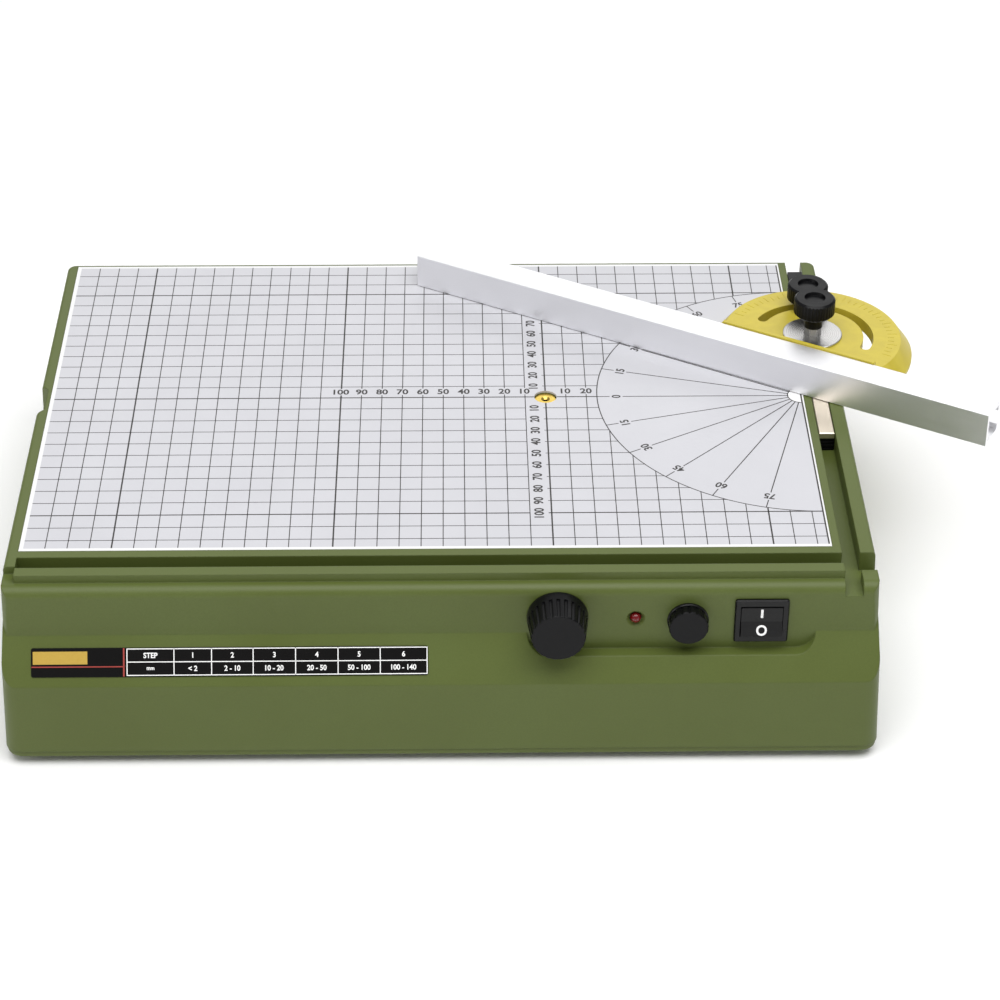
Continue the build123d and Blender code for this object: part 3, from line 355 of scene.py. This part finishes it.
def drawn_aluminium(name, code, worn, turn, stretch):
    """Anodised aluminium with draw lines along one direction."""
    finish, tree, shader, where = new_finish(name, code, 0.3, Metallic=1.0)
    lines = grain(tree, where, 0.25, 3.0, stretch, turn)
    patches = grain(tree, where, 30.0, 2.0)
    vary(tree, lines, 0.38, 0.48, shader.inputs["Roughness"])
    vary(tree, patches, code, worn, shader.inputs["Base Color"])
    relief(tree, shader, lines, 0.004, 0.2)
    return finish


fence_finish = drawn_aluminium("aluminium_extruded_anodised", "#fafafc", "#f4f4f6", fence_turn, (120, 1, 1))
strip_finish = drawn_aluminium("aluminium_drawn_strip", "#f2e7d4", "#eadfcd", 0.0, (1, 120, 1))
give(fence_finish, "fence_bar", "heatsink")
give(strip_finish, "slider_bar")

# %% [markdown]
# ## Plated and turned metals
#
# The washer, studs and nuts are bright nickel plated steel. The washer was turned, so the finest
# scratches run round its centre: a wave texture of rings about the pivot gives them. A wave's bands lie
# 0.31 divided by its scale apart, so these are 1 mm apart, much coarser than real scratches, which
# wouldn't show. Screws and brackets are duller zinc, with a mottled, faintly blue surface. Bushes and
# contacts are turned brass, with rings about the wire's axis.

# %% Plated and turned metals
pivot = Vector(joints["protractor_swing"]["pos_m"])
nickel_finish, tree, shader, where = new_finish("steel_nickel_plated_turned", "#c9c8c6", 0.3, Metallic=1.0)
centred = add_node(tree, "ShaderNodeMapping", {"Vector": where, "Location": -pivot})
rings = add_node(tree, "ShaderNodeTexWave", {"Vector": centred.outputs["Vector"], "Scale": 0.3 / MM,
                                             "Distortion": 0.6, "Detail": 2.0},
                 wave_type="RINGS", rings_direction="Z")
vary(tree, rings.outputs["Fac"], 0.26, 0.36, shader.inputs["Roughness"])
vary(tree, grain(tree, where, 4.0), "#bfbebd", "#cbcac8", shader.inputs["Base Color"])
relief(tree, shader, rings.outputs["Fac"], 0.012, 0.15)
give(nickel_finish, "pivot_washer", "lock_washer", "pivot_stud", "lock_stud", "pivot_nut",
     "potentiometer_nut", "fuse_ends")

zinc_finish, tree, shader, where = new_finish("steel_zinc_plated", "#a9adb1", 0.36, Metallic=1.0)
mottle = grain(tree, where, 1.6, 4.0)
vary(tree, vary(tree, mottle, 0.0, 1.0), "#9a9ea5", "#b6b8ba", shader.inputs["Base Color"])
vary(tree, mottle, 0.30, 0.44, shader.inputs["Roughness"])
relief(tree, shader, mottle, 0.005, 0.15)
give(zinc_finish, "foot_screws", "foot_nuts", "case_screws", "wire_clamp_screw", "arm_nut_plate",
     "potentiometer_shaft", "potentiometer", "transformer_bracket", "transformer_screws",
     "board_screws", "slider_screws", "fence_t_nuts", "fence_screws")

brass_finish, tree, shader, where = new_finish("brass_turned", "#d0b458", 0.2, Metallic=1.0)
turned = add_node(tree, "ShaderNodeTexWave", {"Vector": where, "Scale": 0.25 / MM, "Distortion": 0.8},
                  wave_type="RINGS", rings_direction="Z")
vary(tree, turned.outputs["Fac"], 0.16, 0.26, shader.inputs["Roughness"])
vary(tree, grain(tree, where, 2.0), "#c4a548", "#dcc266", shader.inputs["Base Color"])
relief(tree, shader, turned.outputs["Fac"], 0.004, 0.1)
give(brass_finish, "wire_bush", "wire_clamp_block", "switch_terminals", "board_standoffs")

# %% [markdown]
# ## Rubber, lamp and the electrical pieces
#
# Feet and gland are moulded rubber: dark, matt and faintly dusty. The lamp's lens is clear red epoxy.
# The pieces inside the case are seldom seen, but the part can be opened, so each has its own finish:
# varnished laminations, taped winding, green solder resist and sleeved capacitors.

# %% Rubber, lamp and electrical finishes
rubber_finish, tree, shader, where = new_finish("rubber_moulded", "#19191a", 0.72, IOR=1.52)
vary(tree, grain(tree, where, 2.5, 4.0), "#151516", "#232323", shader.inputs["Base Color"])
relief(tree, shader, grain(tree, where, 0.6, 3.0), 0.02, 0.3)
give(rubber_finish, "rubber_feet", "cord_gland")

lamp_finish, tree, shader, where = new_finish("epoxy_clear_red", "#7c1016", 0.1, IOR=1.55,
                                              Transmission_Weight=0.3)
vary(tree, grain(tree, where, 1.5), "#6a0a10", "#8c141a", shader.inputs["Base Color"])
give(lamp_finish, "led_lens")

glass_finish, tree, shader, where = new_finish("glass_tube", "#f2f8f6", 0.03, IOR=1.5,
                                               Transmission_Weight=1.0)
vary(tree, grain(tree, where, 3.0), 0.02, 0.05, shader.inputs["Roughness"])
give(glass_finish, "fuse_glass")

iron_finish, tree, shader, where = new_finish("steel_laminations_varnished", "#3a3532", 0.35, Metallic=0.6)
plates = add_node(tree, "ShaderNodeTexWave", {"Vector": where, "Scale": 0.5 / MM, "Distortion": 0.3},
                  bands_direction="Y")
vary(tree, plates.outputs["Fac"], "#2e2a28", "#4a433e", shader.inputs["Base Color"])
relief(tree, shader, plates.outputs["Fac"], 0.05)
give(iron_finish, "transformer_core")

tape_finish, tree, shader, where = new_finish("polyester_tape_over_copper", "#a8651f", 0.3, IOR=1.5)
turns = add_node(tree, "ShaderNodeTexWave", {"Vector": where, "Scale": 0.6 / MM, "Distortion": 0.5},
                 bands_direction="Z")
vary(tree, turns.outputs["Fac"], "#8d4f16", "#c07a2c", shader.inputs["Base Color"])
relief(tree, shader, turns.outputs["Fac"], 0.08, 0.4)
give(tape_finish, "transformer_coil")

board_finish, tree, shader, where = new_finish("epoxy_board_solder_resist", "#1d5a32", 0.28, IOR=1.55)
tracks = add_node(tree, "ShaderNodeTexVoronoi", {"Vector": where, "Scale": 0.25 / MM},
                  distance="MANHATTAN", feature="DISTANCE_TO_EDGE")
nearness = vary(tree, tracks.outputs["Distance"], 1.0, 0.0)
vary(tree, nearness, "#1a5530", "#2c7a48", shader.inputs["Base Color"])
relief(tree, shader, tracks.outputs["Distance"], 0.03)
give(board_finish, "control_board")

sleeve_finish, tree, shader, where = new_finish("pvc_sleeve_dark_blue", "#1b2440", 0.22, IOR=1.53)
vary(tree, grain(tree, where, 6.0), "#182038", "#212c4c", shader.inputs["Base Color"])
relief(tree, shader, grain(tree, where, 2.0), 0.01, 0.3)
give(sleeve_finish, "capacitors")

print("nodes still without a finish:", sorted(set(frame["nodes"]) - finished))

# %% [markdown]
# ## Ink
#
# Screen printed ink stands a few hundredths of a millimetre proud and dries satin. It could be a pattern
# in the sheet's own finish, but it is modelled as thin solid bars and figures, so that the grid and its
# figures stay crisp from close by. Four inks are used: near black on the table, and white, gold and red on
# the label.

# %% Ink
def ink(name, code, second):
    """A satin ink that is slightly uneven, because it was pressed through a mesh."""
    finish, tree, shader, where = new_finish(name, code, 0.42, IOR=1.5)
    vary(tree, grain(tree, where, 1.0, 3.0), code, second, shader.inputs["Base Color"])
    vary(tree, grain(tree, where, 3.0), 0.38, 0.48, shader.inputs["Roughness"])
    return finish


grid_ink = ink("ink_warm_black", "#242120", "#2c2928")
white_ink = ink("ink_white", "#f4f4f2", "#ffffff")
gold_ink = ink("ink_gold", "#b8963a", "#c4a448")
red_ink = ink("ink_red", "#a03a34", "#ac443c")


def settle(piece):
    """Put an object's place into its mesh, so that the object sits at the origin."""
    only(piece)
    bpy.ops.object.transform_apply(location=True, rotation=True, scale=True)


def joined(name, parts, finish, body):
    """Join finished parts into one named piece that rides on a body."""
    only(*parts)
    if len(parts) > 1:
        bpy.ops.object.join()
    piece = bpy.context.active_object
    piece.name = piece.data.name = name
    piece.data.materials.clear()
    piece.data.materials.append(finish)
    settle(piece)
    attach(piece, body)
    print(name, "of", len(parts), "parts,", len(piece.data.polygons), "faces")
    return piece


# %% [markdown]
# ## One bar for every line
#
# A printed line is one thin bar. The first bar is a plane of one by one, extruded up by one in edit mode,
# which closes it into a solid. Every line is then a copy with its own mesh, stretched to its length and
# width. A plane with the Solidify modifier would do as well.

# %% One bar of ink, and copies of it
INK_HIGH = 0.03 * MM


def make_bar_master():
    """A unit bar: 1 by 1 in plan, 1 high, standing on z = 0, drawn up from a plane."""
    bpy.ops.object.select_all(action="DESELECT")
    bpy.ops.mesh.primitive_plane_add(size=1.0, location=(0, 0, 0))
    bar = bpy.context.active_object
    bpy.ops.object.mode_set(mode="EDIT")
    bpy.ops.mesh.select_all(action="SELECT")
    bpy.ops.mesh.extrude_region_move(TRANSFORM_OT_translate={"value": (0, 0, 1)})
    bpy.ops.mesh.select_all(action="SELECT")
    bpy.ops.mesh.normals_make_consistent(inside=False)
    bpy.ops.object.mode_set(mode="OBJECT")
    return bar


bar_master = make_bar_master()


def ink_bar(x0, x1, y0, y1, place=Matrix.Identity(4), high=INK_HIGH):
    """A copy of the unit bar, from x0 to x1 and y0 to y1 of a flat drawing, laid in place."""
    bar = bar_master.copy()
    bar.data = bar_master.data.copy()
    bpy.context.scene.collection.objects.link(bar)
    middle = Matrix.Translation(((x0 + x1) / 2, (y0 + y1) / 2, 0))
    bar.matrix_world = place @ middle @ Matrix.Diagonal((x1 - x0, y1 - y0, high, 1))
    return bar


# %% [markdown]
# ## The printed grid
#
# Lines stand every 10 mm, numbered from the wire. The two axes and every hundredth millimetre are
# bolder. A line breaks off where a figure sits on it, at the hole for the bush and at the angle fan, so
# each is cut into the stretches that remain.

# %% Grid lines
THIN, BOLD = 0.42 * MM, 0.72 * MM
STEP = 10 * MM
hole_r = 5.6 * MM
figure_row = (2.3 * MM, 8.3 * MM)
figure_column = (-10.2 * MM, -1.4 * MM)
numbered_left, numbered_right = range(1, 11), range(1, 3)


def remaining(low, high, gaps):
    """The stretches of low to high that the gaps leave."""
    stretches = [(low, high)]
    for gap_low, gap_high in gaps:
        kept = []
        for start, end in stretches:
            kept += [(start, min(end, gap_low)), (max(start, gap_high), end)]
        stretches = [(start, end) for start, end in kept if end - start > 0.2 * MM]
    return stretches


def half_chord(offset):
    """Half the width of the fan's circle at a distance from its centre."""
    return math.sqrt(max(fan_radius**2 - offset**2, 0.0))


thin_bars, bold_bars = [], []
for count in range(-23, 13):
    x = count * STEP
    gaps = []
    if -count in numbered_left or count in numbered_right:
        gaps.append(figure_row)
    if count == 0:
        gaps.append((-hole_r, hole_r))
    reach = half_chord(fan_centre.x - x)
    if reach:
        gaps.append((-reach, reach))
    bold = count % 10 == 0
    half = (BOLD if bold else THIN) / 2
    for low, high in remaining(field_front, field_back, gaps):
        (bold_bars if bold else thin_bars).append(ink_bar(x - half, x + half, low, high))
for count in range(-12, 13):
    y = count * STEP
    gaps = [(fan_centre.x - half_chord(y), field_right)] if abs(y) < fan_radius else []
    if 1 <= abs(count) <= 10:
        gaps.append(figure_column)
    if count == 0:
        gaps.append((-hole_r, hole_r))
    bold = count % 10 == 0
    half = (BOLD if bold else THIN) / 2
    for low, high in remaining(field_left, field_right, gaps):
        (bold_bars if bold else thin_bars).append(ink_bar(low, high, y - half, y + half))
bold_bars.append(ink_bar(field_right - BOLD / 2, field_right + BOLD / 2, field_front, field_back))
joined("sheet_lines_thin", thin_bars, grid_ink, "case")
joined("sheet_lines_bold", bold_bars, grid_ink, "case")

# %% [markdown]
# ## The angle fan
#
# A half circle of 100 mm carries a spoke every 15 degrees, broken where its figure stands. The arc and
# the small hub are made by spinning a tiny rectangle, the line's own section, half a turn about the
# fan's centre, which is how a compass would draw them.

# %% Angle fan
LINE = 0.5 * MM
figure_in, figure_out = 87.4 * MM, 93.8 * MM


def ink_arc(radius, start, sweep, steps, width=LINE):
    """A printed arc about the fan's centre, from an angle through a sweep."""
    bpy.ops.object.select_all(action="DESELECT")
    bpy.ops.mesh.primitive_plane_add(size=1.0, location=(0, 0, 0))
    arc = bpy.context.active_object
    arc.scale = (width, INK_HIGH, 1)
    arc.rotation_euler = (math.pi / 2, 0, 0)
    settle(arc)
    arc.location = (radius, 0, INK_HIGH / 2)
    settle(arc)
    arc.rotation_euler = (0, 0, start)
    settle(arc)
    arc.location = fan_centre
    settle(arc)
    bpy.ops.object.mode_set(mode="EDIT")
    bpy.ops.mesh.select_all(action="SELECT")
    bpy.ops.mesh.spin(steps=steps, angle=-sweep, center=fan_centre, axis=(0, 0, 1))
    bpy.ops.mesh.select_all(action="SELECT")
    bpy.ops.mesh.remove_doubles(threshold=0.001 * MM)
    bpy.ops.mesh.normals_make_consistent(inside=False)
    bpy.ops.object.mode_set(mode="OBJECT")
    return arc


fan_parts = [ink_arc(fan_radius, math.pi / 2, math.pi, 96), ink_arc(fan_hub, math.pi / 2, math.pi, 32)]
fan_angles = range(-75, 90, 15)
for angle in fan_angles:
    turned_to = Matrix.Translation(fan_centre) @ Matrix.Rotation(math.radians(180 - angle), 4, "Z")
    for near, far in ((fan_hub, figure_in), (figure_out, fan_radius)):
        fan_parts.append(ink_bar(near, far, -LINE / 2, LINE / 2, turned_to))
joined("sheet_fan", fan_parts, grid_ink, "case")

# %% [markdown]
# ## Figures
#
# Figures are text objects in Blender's own plain face, given the thickness of ink, turned to meshes and
# only then laid in place. They are a little narrower than the face's normal width, because a grid of
# 10 mm leaves three figures about 8 mm. A single 0 is made first and measured as a mesh, because a text
# object's size is that of its whole line, and a figure is lower than that.

# %% Lettering helper
def text_mesh(text):
    """Text of size 1 as a mesh, one unit thick."""
    bpy.ops.object.select_all(action="DESELECT")
    bpy.ops.object.text_add(location=(0, 0, 0))
    words = bpy.context.active_object
    words.data.body = text
    words.data.align_x = "CENTER"
    words.data.size = 1.0
    words.data.resolution_u = 4
    words.data.extrude = 0.5
    words.data.offset = 0.025
    only(words)
    bpy.ops.object.convert(target="MESH")
    return bpy.context.active_object


def spread(piece, axis):
    """The lowest and highest place of a mesh along one of its own axes."""
    places = [vertex.co[axis] for vertex in piece.data.vertices]
    return min(places), max(places)


probe = text_mesh("0")
probe_low, probe_high = spread(probe, 1)
FIGURE_SHARE = probe_high - probe_low
bpy.data.objects.remove(probe)
print("a figure's height is", round(FIGURE_SHARE, 3), "of its size")


def figures(text, high, width_share, place):
    """Text as a mesh, its figures `high` tall, centred on the origin of a placing matrix."""
    words = text_mesh(text)
    middle_x, middle_y = sum(spread(words, 0)) / 2, sum(spread(words, 1)) / 2
    scale = high / FIGURE_SHARE
    size = Matrix.Diagonal((scale * width_share, scale, INK_HIGH, 1))
    words.matrix_world = place @ size @ Matrix.Translation((-middle_x, -middle_y, 0.5))
    return words


# %% [markdown]
# ## Figures on the table
#
# The row beside the wire reads from the front. The column reads from the bottom up, so its figures are
# turned by a quarter. Those of the fan stand on their spokes with their tops outwards.

# %% Figures on the table
tall, narrow = 4.6 * MM, 0.95
row_y = sum(figure_row) / 2
column_x = sum(figure_column) / 2
figure_r = (figure_in + figure_out) / 2
sheet_words = []
for count in list(range(-10, 0)) + [1, 2]:
    at = Matrix.Translation((count * STEP, row_y, 0))
    sheet_words.append(figures(str(abs(count) * 10), tall, narrow, at))
for count in list(range(-10, 0)) + list(range(1, 11)):
    at = Matrix.Translation((column_x, count * STEP, 0)) @ Matrix.Rotation(math.pi / 2, 4, "Z")
    sheet_words.append(figures(str(abs(count) * 10), tall, narrow, at))
for angle in fan_angles:
    outwards = math.radians(180 - angle)
    spoke = Matrix.Translation(fan_centre) @ Matrix.Rotation(outwards, 4, "Z")
    at = spoke @ Matrix.Translation((figure_r, 0, 0)) @ Matrix.Rotation(-math.pi / 2, 4, "Z")
    sheet_words.append(figures(str(abs(angle)), tall * 0.95, narrow, at))
joined("sheet_figures", sheet_words, grid_ink, "case")

# %% [markdown]
# ## The step table on the front
#
# A foil label on the sloping band tells which step of the knob suits which thickness of foam. Its left
# end carries a plain gold block above a red line, and an upright red line parts it from the table. The
# label lies on a slope, so everything on it is drawn flat, in millimetres from its lower left corner, and
# one matrix lays it on the foil: its columns are the drawing's right, up and outward directions and the
# corner.

# %% Step table
label_low, label_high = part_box("label_plate")
foil_thick, label_drop = 0.4 * MM, 13.2 * MM
label_wide = label_high.x - label_low.x
band_reach, band_drop = 13.0, 19.5        # the band comes forward and falls by these, in mm
lean_down = Vector((0, -band_reach, -band_drop)).normalized()
face_out = Vector((0, -band_drop, band_reach)).normalized()
top_edge = Vector((label_low.x, label_high.y + foil_thick * face_out.y, label_high.z))
corner = top_edge + lean_down * label_drop
on_label = Matrix((Vector((1, 0, 0)), -lean_down, face_out)).transposed().to_4x4()
on_label.translation = corner

rule = 0.42 * MM
table_left, table_right = 43.1 * MM, label_wide - 0.5 * MM
columns = [table_left, 64.2 * MM, 81.1 * MM, 99.8 * MM, 118.9 * MM, 138.0 * MM, 157.0 * MM, table_right]
rows = [0.7 * MM, 6.7 * MM, 12.6 * MM]
table_low, table_high = rows[0] - rule / 2, rows[2] + rule / 2
rules = [ink_bar(x - rule / 2, x + rule / 2, table_low, table_high, on_label) for x in columns]
rules += [ink_bar(table_left, table_right, y - rule / 2, y + rule / 2, on_label) for y in rows]
joined("label_rules", rules, white_ink, "case")

# Foam thickness in millimetres for steps 1 to 6 of the knob.
ranges = ["< 2", "2 - 10", "10 - 20", "20 - 50", "50 - 100", "100 - 140"]
entries = [("STEP", "mm")] + [(str(step), foam) for step, foam in enumerate(ranges, 1)]
label_words = []
for index, (step, thickness) in enumerate(entries):
    x = (columns[index] + columns[index + 1]) / 2
    upper = on_label @ Matrix.Translation((x, (rows[1] + rows[2]) / 2, 0))
    lower = on_label @ Matrix.Translation((x, (rows[0] + rows[1]) / 2, 0))
    label_words.append(figures(step, 2.5 * MM, 0.92, upper))
    label_words.append(figures(thickness, 2.5 * MM if index else 1.9 * MM, 0.92, lower))
joined("label_figures", label_words, white_ink, "case")

gold = [ink_bar(0.8 * MM, 25.3 * MM, 5.8 * MM, 11.6 * MM, on_label)]
joined("label_gold_block", gold, gold_ink, "case")
red = [ink_bar(0.2 * MM, 41.4 * MM, 4.4 * MM, 4.9 * MM, on_label),
       ink_bar(41.3 * MM, 42.0 * MM, 0.2 * MM, label_drop - 0.2 * MM, on_label)]
joined("label_red_lines", red, red_ink, "case")

# %% [markdown]
# ## Marks on the rocker
#
# A switch carries the line and the ring that stand for on and off. They could be cut into the rocker,
# but ink stays crisp when they are small, so they are printed. The rocker's face is a shallow V: here the
# upper half is pressed, so it stands upright and the lower half leans out by the whole rocking angle.
# The ring is text for its even stroke, and the line is one bar.

# %% Rocker marks
rocker_joint = joints["rocker_press"]
axle = Vector(rocker_joint["pos_m"])
lean = math.radians(max(abs(limit) for limit in rocker_joint["range_deg"]))
face_from_axle = 2.4 * MM
fold = axle + Vector((0, -face_from_axle * math.cos(lean / 2), face_from_axle * math.sin(lean / 2)))
upright = Matrix.Translation(fold) @ Matrix.Rotation(math.pi / 2, 4, "X")
leaning = Matrix.Translation(fold) @ Matrix.Rotation(math.pi / 2 - lean, 4, "X")
mark_drop, ring_high, line_high, stroke = 4.3 * MM, 5.2 * MM, 4.6 * MM, 1.1 * MM
ring = figures("O", ring_high, 0.9, leaning @ Matrix.Translation((0, -mark_drop, 0)))
line = ink_bar(-stroke / 2, stroke / 2, mark_drop - line_high / 2, mark_drop + line_high / 2, upright)
joined("rocker_marks", [ring, line], white_ink, "rocker")

# %% [markdown]
# ## Degree ticks on the protractor
#
# The yellow plate has a raised tick every 5 degrees near its rim, a longer one every 15. They are part
# of the moulding, so they take its plastic. One tick of each length is modelled with bevelled edges, as a
# mould leaves them, and copied round the pivot, over the half circle behind the fence.

# %% Degree ticks
TICK_THICK, TICK_ROUND = 0.5 * MM, 0.12 * MM


def tick_master(length):
    """A raised bar along X from the origin, its top edges bevelled."""
    bpy.ops.object.select_all(action="DESELECT")
    bpy.ops.mesh.primitive_cube_add(size=1.0, location=(0, 0, 0))
    tick = bpy.context.active_object
    tick.scale = (length, TICK_THICK, TICK_THICK)
    settle(tick)
    tick.location = (length / 2, 0, 0)
    settle(tick)
    bpy.ops.object.mode_set(mode="EDIT")
    bpy.ops.mesh.select_all(action="SELECT")
    bpy.ops.mesh.bevel(offset=TICK_ROUND, segments=2, affect="EDGES")
    bpy.ops.object.mode_set(mode="OBJECT")
    return tick


plate_top = 11.0 * MM
tick_start = 37.6 * MM
short_tick, long_tick = tick_master(3.0 * MM), tick_master(4.8 * MM)
ticks = []
for degree in range(0, 185, 5):
    master = long_tick if degree % 15 == 0 else short_tick
    tick = master.copy()
    tick.data = master.data.copy()
    bpy.context.scene.collection.objects.link(tick)
    outwards = fence_turn + math.radians(degree)
    tick.matrix_world = (Matrix.Translation(pivot + Vector((0, 0, plate_top - 0.1 * MM)))
                         @ Matrix.Rotation(outwards, 4, "Z") @ Matrix.Translation((tick_start, 0, 0)))
    ticks.append(tick)
joined("protractor_ticks", ticks, yellow_finish, "protractor")
for master in (short_tick, long_tick):
    bpy.data.objects.remove(master)

# %% [markdown]
# ## Screws under the case
#
# Four screws hold the feet and six close the case. Seen from below, what tells a screw is its recess,
# which the plain CAD solids don't have, so these are modelled anew: a cylinder for the head, its rim
# bevelled round, its back inset and extruded into the shank, and a cross cut into it with two Boolean
# modifiers. One is made for each kind and copied, head down, to the places of the CAD screws, which are
# read from their group's box. Each is turned a little further than the last, as screws stop anyhow.

# %% Cross recess screws
def cross_screw(head_r, head_high, shank_r, length):
    """A screw with its head's underside at z = 0 and its shank upwards; the recess opens downwards."""
    bpy.ops.object.select_all(action="DESELECT")
    bpy.ops.mesh.primitive_cylinder_add(vertices=32, radius=head_r, depth=head_high,
                                        location=(0, 0, -head_high / 2))
    head = bpy.context.active_object
    settle(head)
    bpy.ops.object.mode_set(mode="EDIT")
    bpy.ops.mesh.select_all(action="DESELECT")
    bpy.ops.object.mode_set(mode="OBJECT")
    for edge in head.data.edges:
        edge.select = all(head.data.vertices[i].co.z < -head_high * 0.9 for i in edge.vertices)
    bpy.ops.object.mode_set(mode="EDIT")
    bpy.ops.mesh.select_mode(type="EDGE")
    bpy.ops.mesh.bevel(offset=head_high * 0.4, segments=4, affect="EDGES")
    bpy.ops.mesh.select_all(action="DESELECT")
    bpy.ops.mesh.select_mode(type="FACE")
    bpy.ops.object.mode_set(mode="OBJECT")
    for face in head.data.polygons:
        face.select = face.normal.z > 0.9 and face.center.z > -0.05 * head_high
    bpy.ops.object.mode_set(mode="EDIT")
    bpy.ops.mesh.inset(thickness=head_r - shank_r)
    bpy.ops.mesh.extrude_region_move(TRANSFORM_OT_translate={"value": (0, 0, length)})
    bpy.ops.mesh.select_all(action="SELECT")
    bpy.ops.mesh.normals_make_consistent(inside=False)
    bpy.ops.object.mode_set(mode="OBJECT")
    deep, slot_wide, slot_long = head_high * 0.75, head_r * 0.26, head_r * 1.05
    for slot_size in ((slot_long, slot_wide), (slot_wide, slot_long)):
        bpy.ops.object.select_all(action="DESELECT")
        bpy.ops.mesh.primitive_cube_add(size=1.0, location=(0, 0, -head_high))
        cutter = bpy.context.active_object
        cutter.scale = (*slot_size, 2 * deep)
        settle(cutter)
        only(head)
        cut = head.modifiers.new("recess", "BOOLEAN")
        cut.operation = "DIFFERENCE"
        cut.object = cutter
        bpy.ops.object.modifier_apply(modifier="recess")
        bpy.data.objects.remove(cutter)
    return head


def group_places(node, rows_x, margin):
    """Plan positions of a group of equal pieces that stand in two rows of rows_x, from its box."""
    low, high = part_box(node)
    xs = [low.x + margin + i * (high.x - low.x - 2 * margin) / (rows_x - 1) for i in range(rows_x)]
    return [(x, y) for x in xs for y in (low.y + margin, high.y - margin)]


head_r, head_high, shank_r = 3.2 * MM, 1.6 * MM, 1.45 * MM
for node, rows_x in (("foot_screws", 2), ("case_screws", 3)):
    low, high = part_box(node)
    seat = low.z + head_high
    master = cross_screw(head_r, head_high, shank_r, high.z - seat)
    copies = []
    for order, (x, y) in enumerate(group_places(node, rows_x, head_r)):
        screw = master.copy()
        screw.data = master.data.copy()
        bpy.context.scene.collection.objects.link(screw)
        turned_by = Matrix.Rotation(math.radians(35 * order), 4, "Z")
        screw.matrix_world = Matrix.Translation((x, y, seat)) @ turned_by
        copies.append(screw)
    bpy.data.objects.remove(master)
    group = joined(node + "_cross_recess", copies, zinc_finish, "case")
    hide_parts(node)

bpy.data.objects.remove(bar_master)

# %% [markdown]
# ## Size of the CAD solids
#
# The box of the CAD solids is printed.

# %% Size of the CAD solids
print("CAD box", [round(v, 4) for v in (*cad_box[0], *cad_box[1])])
